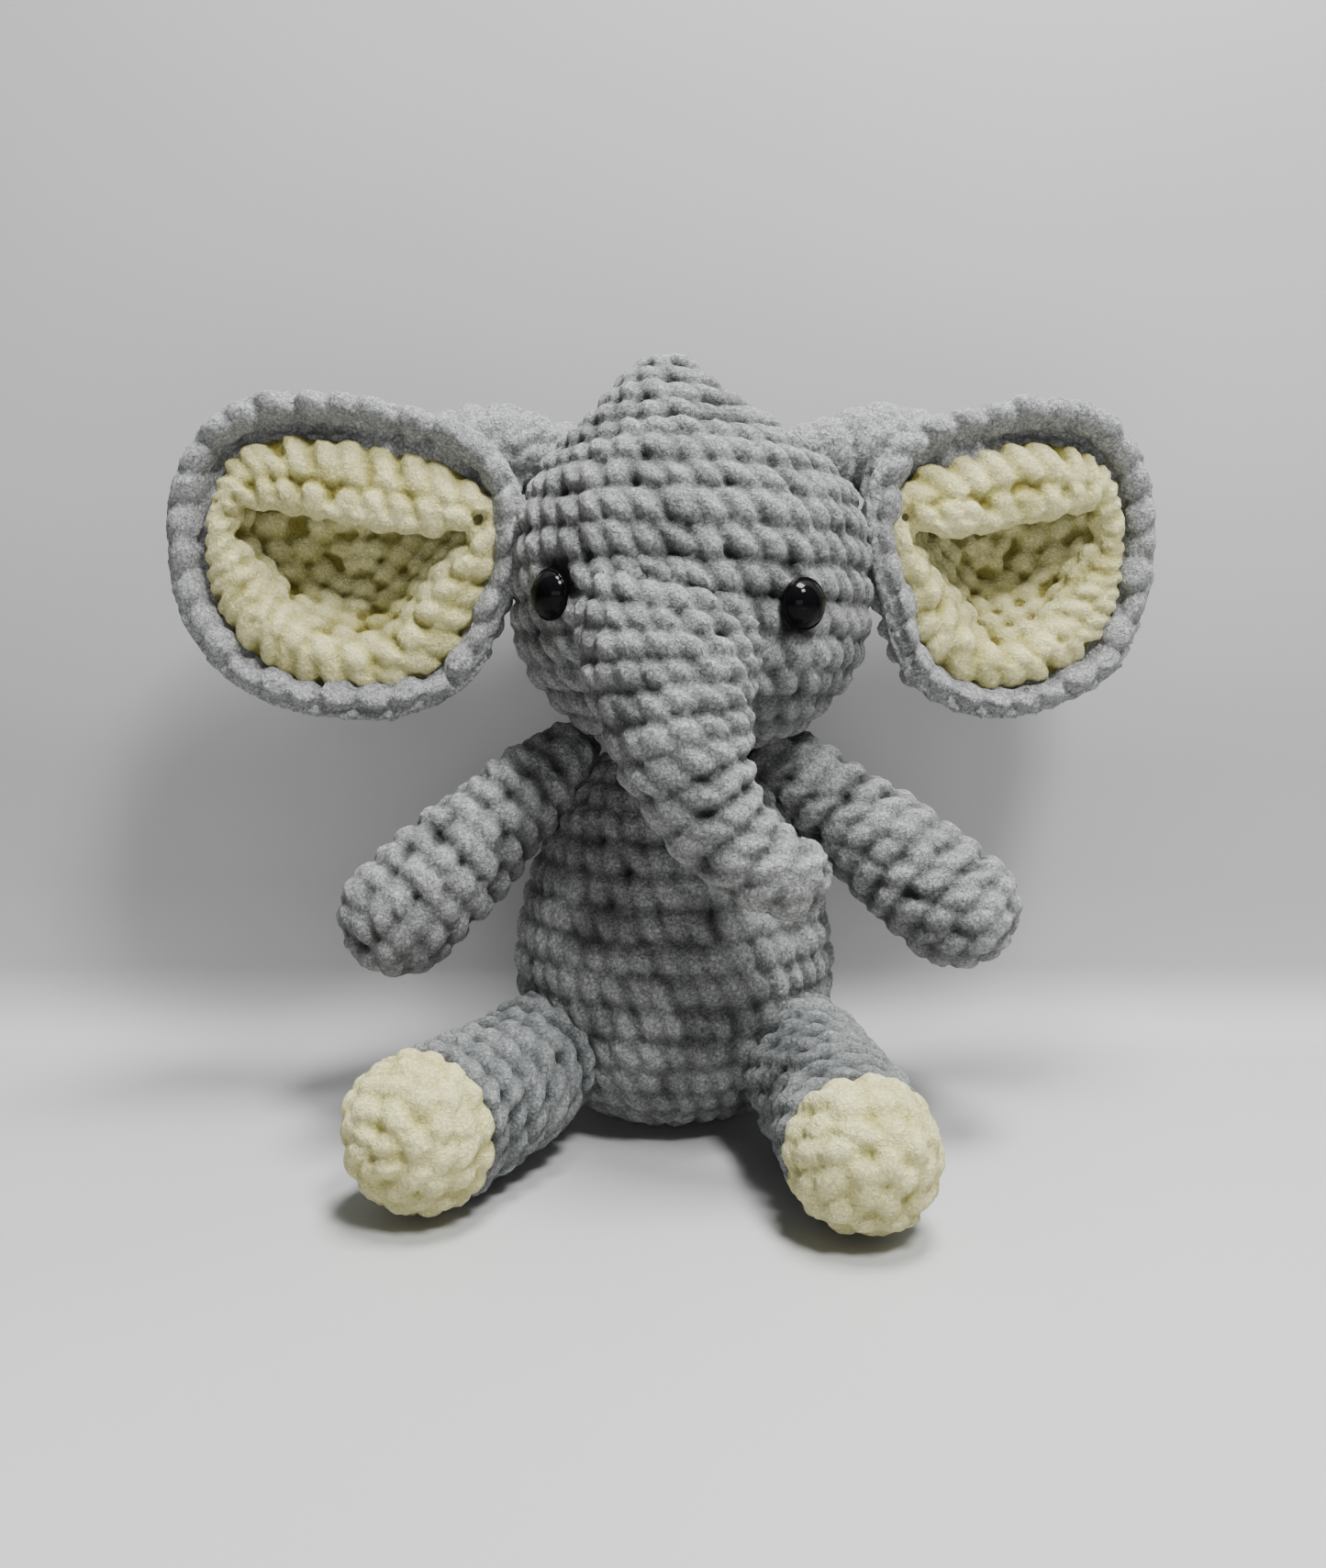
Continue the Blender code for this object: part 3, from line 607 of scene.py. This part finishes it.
def head_form(grid):
    """Tips the head's rows up at the front, keeping them on its surface, and leans the crown."""
    outline = spline(HEAD, 200)
    radius = np.linalg.norm(grid[..., :2] - HEAD_MIDDLE, axis=2)
    facing = (grid[..., :2] - HEAD_MIDDLE) / np.maximum(radius, 1e-9)[..., None]
    middle = (HEAD[0, 1] + HEAD_TOP) / 2
    fade = np.clip(1 - ((grid[..., 2] - middle) / (HEAD_TOP - middle)) ** 4, 0, 1)
    z = grid[..., 2] + fade * radius * (-NOD * facing[..., 1] + ROLL * facing[..., 0])
    z = np.clip(z, outline[0, 1], outline[-1, 1])
    keep = np.interp(grid[..., 2], outline[:, 1], outline[:, 0])
    wanted = np.interp(z, outline[:, 1], outline[:, 0])
    scale = np.where(keep > 2 * MM, wanted / np.maximum(keep, 1e-6), 1)
    made = np.empty_like(grid)
    made[..., :2] = HEAD_MIDDLE + facing * (radius * scale)[..., None]
    made[..., 2] = z
    made[..., 0] += lean_of(z)
    return made


def eye_frame(side):
    """The middle of an eye's flange and the direction it looks in, from the eye's own CAD node."""
    node = frame["nodes"][f"eye_{side}"]
    points = np.array([v.co for v in node.data.vertices])
    out = points.mean(0) - np.array([*HEAD_MIDDLE, points[:, 2].mean()])
    out = unit(np.array([out[0], out[1], 0.0]))
    return points[np.argmax(points @ out)] - out * EYE_BACK, out


# Rows of (x, y, z, radius) in millimetres, from inside the forehead to the tip.
TRUNK = np.array([(1.5, -24, 176, 26), (0.5, -28.5, 166, 27.5), (-1, -37, 156, 27.3), (-1.5, -47, 144, 25.6),
                  (-0.6, -55, 131, 22), (1.8, -60.5, 118.5, 18.8), (6.5, -63, 107, 16),
                  (12.8, -64.5, 97.5, 14.2), (20.5, -65.5, 90.5, 13), (29.3, -65.5, 86, 12)]) * MM
TRUNK_LEVEL = [1, 1, 0.95, 0.8, 0.4, 0]
TRUNK_FIRST = 0.15  # share of the trunk's length that stays bare inside the head


def make_head():
    fabric = turned(HEAD, HEAD_MIDDLE, head_form)
    eyes = [eye_frame(side)[0] for side in SIDES]

    def hidden(points):
        gone = np.zeros(len(points), bool)
        for eye in eyes:
            gone |= np.linalg.norm(points - eye, axis=1) < EYE_CLEAR
        return gone

    puffs = Puffs()
    stitch(puffs, fabric, "head", skip=hidden)
    piece = crochet("head", "head", GREY, fabric, puffs)
    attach(piece, "head")
    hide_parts("head_shell", "head_stuffing")


def make_trunk():
    fabric = tube(TRUNK, up=(0, -1, 0.01), level=TRUNK_LEVEL)
    puffs = Puffs()
    stitch(puffs, fabric, "trunk", fabric.bands(CROCHET["trunk"]["row"] * MM, TRUNK_FIRST))
    piece = crochet("trunk", "trunk", GREY, fabric, puffs)
    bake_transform(piece)
    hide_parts("trunk_shell", "trunk_stuffing")


# The dome of an eye and the flange at its foot, as (radius, height) in millimetres.
EYE_PROFILE = [(0.05, 4.7), (2.5, 4.35), (4.6, 3.2), (6.0, 1.55), (6.45, 0.75), (6.6, 0.55), (6.95, 0.6),
               (7.15, 0.2), (7.0, -0.6), (6.0, -1.0), (0.05, -1.0)]
EYE_RINGS, EYE_COLUMNS = 60, 64


def make_eyes():
    profile = spline(EYE_PROFILE, EYE_RINGS) * MM
    angle = 2 * math.pi * np.arange(EYE_COLUMNS) / EYE_COLUMNS
    for side in SIDES:
        middle, out = eye_frame(side)
        across = unit(np.cross(out, [0, 0, 1.0]))
        up = np.cross(across, out)
        ring = np.cos(angle)[:, None] * across + np.sin(angle)[:, None] * up
        grid = middle + profile[:, 0, None, None] * ring + profile[:, 1, None, None] * out
        points, faces = core(Fabric(grid), 0)
        piece = new_object(f"eye_dome_{side}", points, faces, EYE)
        mesh = bmesh.new()
        mesh.from_mesh(piece.data)
        bmesh.ops.remove_doubles(mesh, verts=mesh.verts, dist=1e-6)
        bmesh.ops.recalc_face_normals(mesh, faces=mesh.faces)
        mesh.to_mesh(piece.data)
        mesh.free()
        piece.data.shade_smooth()
        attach(piece, "head")
        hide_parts(f"eye_{side}")
        for slot in frame["nodes"][f"eye_washer_{side}"].material_slots:
            slot.material = WASHER


# ---------------------------------------------------------------- limbs

def limb_line(node_joint, end, radii, back):
    """Rows of (x, y, z, radius) from behind the joint to the middle of the round end."""
    joint = JOINT[node_joint]
    end = np.asarray(end, float) * MM
    ahead = unit(end - joint)
    root, middle, tip = np.array(radii, float) * MM
    return np.array([
        [*(joint - ahead * back * MM), root * 0.92],
        [*(joint - ahead * back * 0.4 * MM), root],
        [*(joint + (end - joint) * 0.2), (root * 1.4 + middle) / 2.4],
        [*(joint + (end - joint) * 0.5), middle],
        [*(joint + (end - joint) * 0.8), (middle + tip) / 2],
        [*end, tip],
    ]), ahead


# The middle of each hand, and the radii at the shoulder, half way and at the hand, in millimetres.
ARM_ENDS = {"left": ((-79, -32, 68), (13, 17.3, 18.2)), "right": ((82, -26, 69.5), (13, 17.6, 18.8))}
ARM_BACK = 13  # how far an arm starts behind its joint
# Rows of (x, y, z, radius) in millimetres, from inside the body to the foot.
LEGS = {
    "left": [(-28, -14, 26, 17), (-38, -28, 25, 19.5), (-47, -46, 23, 20.3), (-57, -63, 22, 20.8),
             (-65, -78, 21.9, 21)],
    "right": [(32, -14, 26, 17), (37, -30, 25, 19), (41, -50, 22.5, 20), (44, -70, 21.5, 20.3),
              (46.5, -90, 21, 20)],
}


def make_arms():
    for side, (end, radii) in ARM_ENDS.items():
        joint = f"arm_{side}_lift"
        line, ahead = limb_line(joint, end, radii, ARM_BACK)
        fabric = tube(line)
        puffs = Puffs()
        stitch(puffs, fabric, "arm")
        piece = crochet(f"arm_{side}", "arm", GREY, fabric, puffs)
        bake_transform(piece)
        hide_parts(f"arm_shell_{side}", f"arm_stuffing_{side}")


SOLE_START = 4 * MM  # how far before the middle of the foot's round end the sole starts
SOLE_OVERLAP = 2.0 * MM  # how far the leg's stitches run on past that
SOLE_WIDER = 0.4 * MM
SOLE_DEEP = 5 * MM  # how far the sole's core reaches back into the leg
SOLE_RINGS = 40


def make_legs():
    for side, rows in LEGS.items():
        line = np.array(rows) * MM
        ahead = unit(line[-1, :3] - line[-2, :3])
        fabric = tube(line)
        edge = line[-1, :3] - ahead * SOLE_START

        def on_sole(points):
            """True past the line where the sole's yarn starts."""
            return (points - edge) @ ahead > SOLE_OVERLAP

        puffs = Puffs()
        stitch(puffs, fabric, "leg", skip=on_sole)
        piece = crochet(f"leg_{side}", "leg", LEG_GREY, fabric, puffs)
        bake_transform(piece)
        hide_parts(f"leg_shell_{side}", f"leg_stuffing_{side}")
        tip = line[-1].copy()
        tip[3] += SOLE_WIDER
        root = tip.copy()
        root[:3] -= ahead * SOLE_DEEP
        cap = tube(np.array([root, (root + tip) / 2, tip]), caps=(False, True), rings=SOLE_RINGS)
        puffs = Puffs()
        stitch(puffs, cap, "sole")
        sole = crochet(f"sole_{side}", "sole", CREAM, cap, puffs)
        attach(sole, f"leg_{side}")
        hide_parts(f"foot_cap_{side}")


# ---------------------------------------------------------------- ears

# Loops round the ear, (outwards, up) from its middle, in millimetres, from the pinch over the top.
RIM = [(-54, 17), (-50, 30), (-38, 40), (-16, 46), (14, 49), (37, 39), (48, 13), (46, -10), (34, -31),
       (12, -42), (-17, -43), (-39, -33), (-49, -11), (-53, 3)]
BORDER = [(-47, 15), (-41, 22), (-31, 28), (-11, 33), (13, 35), (30, 28), (37, 10), (36, -10), (24, -28),
          (6, -36), (-15, -37), (-33, -27), (-42, -9), (-46, 4)]
LIP = [(-44, 14), (-37, 9), (-28, 7), (-13, 9), (9, 13), (25, 14), (28, 7), (22, -2), (14, -12),
       (4, -20), (-11, -22), (-22, -14), (-32, -2), (-40, 8)]
WALL = [(-40, 18), (-34, 18), (-25, 18), (-9, 19), (10, 19), (23, 15), (24, 8), (20, 1), (14, -7),
        (4, -12), (-7, -14), (-17, -7), (-26, 3), (-34, 12)]
EARS = {"left": (-1, 0.0, 1.0), "right": (1, 14.0, 0.9)}  # side, yaw in degrees, share of the width
EAR_REACH, EAR_HALF, EAR_DEPTH = 51, 49, 33
# The ears' core inset, their sheet's thickness, and the depth from which their grooves take full painted
# shade, in millimetres.
EAR_CORE, EAR_SHEET, EAR_GROOVE_SHADE = 3.9, 1.8, 3.6
CUP_CORE = 3.7
EAR_FOLD = [(-12, 30, 14), (-30, 33, 14), (-48, 34, 15), (-68, 30, 16)]
EAR_FOLD_RADII = np.array([12, 12.5, 13, 12]) * MM
BACK_TURNS = np.radians([84, 72, 60, 48, 36, 24, 12, 0.6])
PINCH = (-2, 3)  # where the floor of the bowl closes
MID_DEPTHS = [-1, -3.5, -4.5, -4, -3.5, -3, -2.5, -2.5, -3, -3, -3, -3, -3, -2]
LIP_DEPTHS = [1, 0, 0, 0, 0, 1.5, 3, 3.5, 3, 2.5, 2, 1.5, 1, 1]
CROWD_FROM, CROWD_OVER = 8, 24


def ear_place(side):
    """A function from (outwards, up, backwards) in millimetres to points in the frame."""
    hand, yaw, wide = EARS[side]
    low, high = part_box(f"ear_back_{side}")
    turn = math.radians(yaw)
    out = np.array([hand * math.cos(turn), math.sin(turn), 0])
    back = np.array([-hand * math.sin(turn) if hand > 0 else math.sin(turn), math.cos(turn), 0])
    outer = low.x if hand < 0 else high.x
    middle = np.array([outer - hand * EAR_REACH * wide * math.cos(turn) * MM,
                       low.y + EAR_HALF * wide * math.sin(turn) * MM, (low.z + high.z) / 2])

    def place(rows):
        rows = np.asarray(rows, float) * MM
        up = np.array([0, 0, 1])
        return middle + rows[..., :1] * wide * out + rows[..., 1:2] * up + rows[..., 2:3] * back

    return place, out, back, middle


def loops_to_grid(loops, place, rings, facing):
    """A fabric through closed loops of (outwards, up, backwards), one for each control ring."""
    rows = np.array([spline(loop, COLUMNS, closed=True) for loop in loops])
    return Fabric(place(spline(rows, rings)), facing)


def loop(points, depth, scale=1.0, shift=(0, 0)):
    depth = np.broadcast_to(np.asarray(depth, float), len(points))
    return [((u - shift[0]) * scale + shift[0], (w - shift[1]) * scale + shift[1], d)
            for (u, w), d in zip(points, depth)]


def mixed(a, b, share):
    return [tuple(np.array(p) * (1 - share) + np.array(q) * share) for p, q in zip(a, b)]


def make_ears():
    for side in EARS:
        place, out, back, middle = ear_place(side)
        front = -back
        lobe = [
            loop(BORDER, 4.0, 0.97),
            loop(mixed(BORDER, RIM, 0.25), 3.5),
            loop(mixed(BORDER, RIM, 0.5), 0.0),
            loop(mixed(BORDER, RIM, 0.78), -4.0),
            loop(RIM, 0.0),
            loop(RIM, 8.0, 0.99),
        ]
        edge = loops_to_grid(lobe, place, 51, None)
        towards = edge.grid - place([(0, 0, 8)])
        edge = Fabric(edge.grid, towards + front * 0.03)
        puffs = Puffs()
        stitch(puffs, edge, "ear_band", [1, 9, 17])
        stitch(puffs, edge, "ear_rope", [18, 45])
        bowl = [loop(RIM, EAR_DEPTH * math.cos(t), math.sin(t)) for t in BACK_TURNS]
        shell = loops_to_grid(bowl, place, 56, None)
        shell = Fabric(shell.grid, shell.grid - place([(0, 0, 0)]))
        stitch(puffs, shell, "ear_back")
        fold = tube(np.column_stack([place(EAR_FOLD), EAR_FOLD_RADII]), rings=50)
        stitch(puffs, fold, "ear_fold")
        piece = knit(f"ear_{side}", GREY, [edge, shell, fold], puffs, inset=EAR_CORE, sheet=EAR_SHEET,
                     deep=EAR_GROOVE_SHADE)
        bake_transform(piece)
        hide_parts(f"ear_back_{side}")
        cup = [
            loop(BORDER, 1.5, 1.06),
            loop(mixed(BORDER, LIP, 0.5), MID_DEPTHS),
            loop(LIP, LIP_DEPTHS),
            loop(WALL, 12),
            loop(WALL, 17, 0.55, PINCH),
            loop(WALL, 18, 0.04, PINCH),
        ]
        lining = loops_to_grid(cup, place, 61, front)
        puffs = Puffs()

        def crowd(ring):
            """Stitches stand closer together on the outer side of the ear."""
            local = (ring - middle) @ out / MM
            return 1 + np.clip((local - CROWD_FROM) / CROWD_OVER, 0, 1)

        stitch(puffs, lining, "cup_edge", [0, 12], crowd=crowd)
        stitch(puffs, lining, "cup_lip", [12, 24.5], crowd=crowd)
        stitch(puffs, lining, "cup_wall", [24, 30, 36])
        stitch(puffs, lining, "cup_floor", [36, 44, 52, 60])
        cream = knit(f"ear_cup_{side}", CREAM, lining, puffs, inset=CUP_CORE, sheet=EAR_SHEET,
                     deep=EAR_GROOVE_SHADE)
        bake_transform(cream)
        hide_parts(f"ear_lining_{side}")


# ---------------------------------------------------------------- yarn: seams and tail

TWIST = 1.9  # radians that a strand turns from one puff to the next


def rope(name, points, radius, body, node, pitch=3.4, closed=False):
    """A twisted strand of yarn along a line of points in metres; radius and pitch are in millimetres."""
    line = spline(points, 200, closed)
    if closed:
        line = np.vstack([line, line[:1]])
    length = np.linalg.norm(np.diff(line, axis=0), axis=1).sum()
    count = max(3, round(length / (pitch * MM)))
    line = even(line, count + 1)
    ahead = unit(np.gradient(line, axis=0))
    side = unit(np.cross(ahead, [0.13, 0.21, 0.97]))
    over = np.cross(side, ahead)
    puffs = Puffs()
    radius = radius * MM
    for turn in (0, math.pi):
        swing = np.arange(len(line)) * TWIST + turn
        off = np.cos(swing)[:, None] * side + np.sin(swing)[:, None] * over
        across = unit(np.cross(ahead, off))
        long = unit(ahead * 0.8 + across * 0.6)
        wide = np.cross(off, long)
        size = np.tile([pitch * 0.75 * MM, radius * 0.8, radius * 0.75], (len(line), 1))
        puffs.add(line + off * radius * 0.4, long, wide, off, size)
    spine = np.column_stack([spline(line, 30), np.full(30, radius * 0.6)])
    fabric = tube(spine, sides=16, rings=60)
    piece = knit(name, GREY, fabric, puffs, inset=0.2, deep=1.5, rough=0.7, soften=1, voxel=YARN_VOXEL)
    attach(piece, body)
    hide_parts(node)


def middle_line(node, steps):
    """The middle line of a CAD yarn node, sorted round its own centre."""
    points = np.array([v.co for v in frame["nodes"][node].data.vertices])
    centre = points.mean(0)
    spread = points - centre
    _, _, axes = np.linalg.svd(spread, full_matrices=False)
    angle = np.arctan2(spread @ axes[1], spread @ axes[0])
    order = np.sort(angle)
    gap = np.append(np.diff(order), order[0] + 2 * math.pi - order[-1])
    start = order[(np.argmax(gap) + 1) % len(order)]
    closed = gap.max() < 0.6
    turn = np.mod(angle - start, 2 * math.pi)
    edges = np.linspace(0, turn.max() + 1e-6, steps + 1)
    made = []
    for low, high in zip(edges, edges[1:]):
        inside = points[(turn >= low) & (turn < high)]
        if len(inside) >= 3:
            made.append(inside.mean(0))
    return np.array(made), closed


# What the seams of each kind are like: yarn radius in millimetres, and size as a share of the CAD seam's.
SEAMS = {"arm": (1.1, 0.82), "leg": (1.1, 0.7), "ear": (0.9, 0.95)}
NECK_YARN = 1.5
EAR_SEAM_OUT = 1.8 * MM  # how far the ears' seams lie outwards of their CAD rings
SEAM_POINTS = 10


def make_seams():
    """Each seam follows its CAD ring, drawn in so that it sits in the crease of the stitches."""
    line, closed = middle_line("neck_seam", SEAM_POINTS)
    rope("neck_seam_yarn", line, NECK_YARN, "neck", "neck_seam", closed=closed)
    for limb, (radius, share) in SEAMS.items():
        for side in SIDES:
            node = f"{limb}_seam_{side}"
            line, closed = middle_line(node, SEAM_POINTS)
            joint = JOINT[f"{limb}_{side}_flap" if limb == "ear" else f"{limb}_{side}_lift"]
            line = joint + (line - joint) * share
            if limb == "ear":
                line = line + [math.copysign(EAR_SEAM_OUT, joint[0]), 0, 0]
            if limb == "leg":
                line = line + np.array(LEGS[side][1])[:3] * MM - joint
            body = f"ear_{side}" if limb == "ear" else "torso"
            rope(f"{node}_yarn", line, radius, body, node, closed=closed)


TUFT_STRANDS, TUFT_STEPS = 9, 4
TUFT_TURN = 2.4  # radians from one strand of the tuft to the next
TUFT_PUFF = (2.9, 2.0, 2.0)


def make_tail():
    pivot = JOINT["tail_lift"]
    cord = np.array([pivot - [0, 4 * MM, -2 * MM], pivot, pivot + [0, 6.5 * MM, -4 * MM],
                     pivot + [0, 10.5 * MM, -12 * MM]])
    rope("tail_cord_yarn", cord, 4.0, "tail", "tail_cord", pitch=4.6)
    low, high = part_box("tail_tuft")
    top = np.array([(low.x + high.x) / 2, (low.y + high.y) / 2, high.z])
    puffs = Puffs()
    for k in range(TUFT_STRANDS):
        turn = TUFT_TURN * k
        reach = 0.0 if k == 0 else 2.6 * MM
        off = np.array([math.cos(turn), math.sin(turn), 0]) * reach
        for step in range(TUFT_STEPS):
            share = step / (TUFT_STEPS - 1)
            at = top + off * (0.6 + 0.7 * share) + np.array([0, 0, -(2.5 + share * 9.5) * MM])
            at[2] = max(at[2], 3.2 * MM)
            puffs.add(at[None], np.array([[0, 0, 1.0]]), np.array([[1.0, 0, 0]]), np.array([[0, 1.0, 0]]),
                      np.array([TUFT_PUFF]) * MM)
    line = np.array([[*(top - [0, 0, 3 * MM]), 3 * MM], [*(top - [0, 0, 7 * MM]), 3.4 * MM],
                     [*(top - [0, 0, 10 * MM]), 3.2 * MM]])
    fabric = tube(line, sides=24, rings=30)
    piece = knit("tail_tuft_yarn", GREY, fabric, puffs, inset=0.5, deep=3.0, voxel=YARN_VOXEL)
    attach(piece, "tail")
    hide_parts("tail_tuft")


# ---------------------------------------------------------------- stage

def see_through_from_behind(tree, shader):
    """The sheet is only there for what stands before it, so the toy's back can be looked at too."""
    clear = tree.nodes.new("ShaderNodeBsdfTransparent")
    mix = tree.nodes.new("ShaderNodeMixShader")
    side = tree.nodes.new("ShaderNodeNewGeometry")
    tree.links.new(side.outputs["Backfacing"], mix.inputs["Fac"])
    tree.links.new(shader.outputs["BSDF"], mix.inputs[1])
    tree.links.new(clear.outputs["BSDF"], mix.inputs[2])
    out = next(node for node in tree.nodes if node.type == "OUTPUT_MATERIAL")
    tree.links.new(mix.outputs["Shader"], out.inputs["Surface"])


FLAT, BEND = 0.050, 0.024  # how far back the floor is flat, and the radius of its bend
WALL_LEAN = [(0.072, 0.06), (0.063, 0.10), (0.058, 0.14), (0.056, 0.2)]  # (y, z), towards the toy's head
STAGE_HALF = 2.4
TABLE_Z = -0.001


def make_stage():
    """A pale floor that sweeps up into a wall close behind the toy."""
    profile = [(-2.2, 0.0), (-1.0, 0.0), (-0.4, 0.0), (-0.1, 0.0), (0.03, 0.0)]
    for k in range(13):
        t = math.radians(90 * k / 12)
        profile.append((FLAT + BEND * math.sin(t), BEND * (1 - math.cos(t))))
    back = WALL_LEAN[-1][0]
    profile += WALL_LEAN + [(back, 0.4), (back, 1.0), (back, 2.2)]
    xs = np.linspace(-STAGE_HALF, STAGE_HALF, 13)
    points = np.array([(x, y, z) for y, z in profile for x in xs])
    n = len(xs)
    faces = [[i * n + j, i * n + j + 1, (i + 1) * n + j + 1, (i + 1) * n + j]
             for i in range(len(profile) - 1) for j in range(n - 1)]
    made, tree, shader = nodes_of("paper")
    place = add(tree, "ShaderNodeTexCoord").outputs["Object"]
    cloud = add(tree, "ShaderNodeTexNoise", {"Vector": place, "Scale": 5, "Detail": 2})
    tint = ramp(tree, cloud.outputs["Fac"], [(0.35, (0.40, 0.404, 0.40)), (0.65, (0.42, 0.424, 0.42))])
    tree.links.new(tint, shader.inputs["Base Color"])
    shader.inputs["Roughness"].default_value = 0.6
    see_through_from_behind(tree, shader)
    floor = new_object("backdrop", points, faces, made)
    floor.data.shade_smooth()
    table = np.array([(-STAGE_HALF, FLAT / 2, TABLE_Z), (STAGE_HALF, FLAT / 2, TABLE_Z),
                      (STAGE_HALF, STAGE_HALF, TABLE_Z), (-STAGE_HALF, STAGE_HALF, TABLE_Z)])
    behind = new_object("table_behind", table, [[0, 1, 2], [0, 2, 3]], made)


def area(name, at, target, size, power):
    light = bpy.data.lights.new(name, "AREA")
    light.shape = "RECTANGLE"
    light.size, light.size_y = size
    light.energy = power
    obj = bpy.data.objects.new(name, light)
    obj.location = at
    obj.rotation_euler = (Vector(target) - Vector(at)).to_track_quat("-Z", "Y").to_euler()
    bpy.context.scene.collection.objects.link(obj)


def make_light():
    world = bpy.data.worlds.new("studio")
    world.use_nodes = True
    sky = world.node_tree.nodes["Background"]
    sky.inputs["Color"].default_value = (0.93, 0.97, 1.0, 1)
    sky.inputs["Strength"].default_value = 0.015
    bpy.context.scene.world = world
    area("key", (0.32, -0.58, 1.04), (0.0, -0.02, 0.12), (0.24, 0.24), 19.5)
    area("top", (0.14, -0.12, 1.15), (0.02, -0.06, 0.05), (0.4, 0.26), 24.0)
    area("fill", (0.0, -1.0, 0.25), (0, 0, 0.06), (0.6, 0.3), 1.5)


def make_camera():
    """The camera stands in front of the seat, a little above the eyes' height, and looks slightly down."""
    data = bpy.data.cameras.new("camera")
    data.lens = 30.44
    data.sensor_width = 36
    data.clip_start = 0.01
    obj = bpy.data.objects.new("camera", data)
    obj.location = (-0.0033, -0.405, 0.155)
    obj.rotation_euler = (math.radians(82.5), 0, 0)
    bpy.context.scene.collection.objects.link(obj)
    bpy.context.scene.camera = obj


make_camera()
make_light()
make_stage()
make_body()
make_head()
make_trunk()
make_eyes()
make_arms()
make_legs()
make_ears()
make_seams()
make_tail()
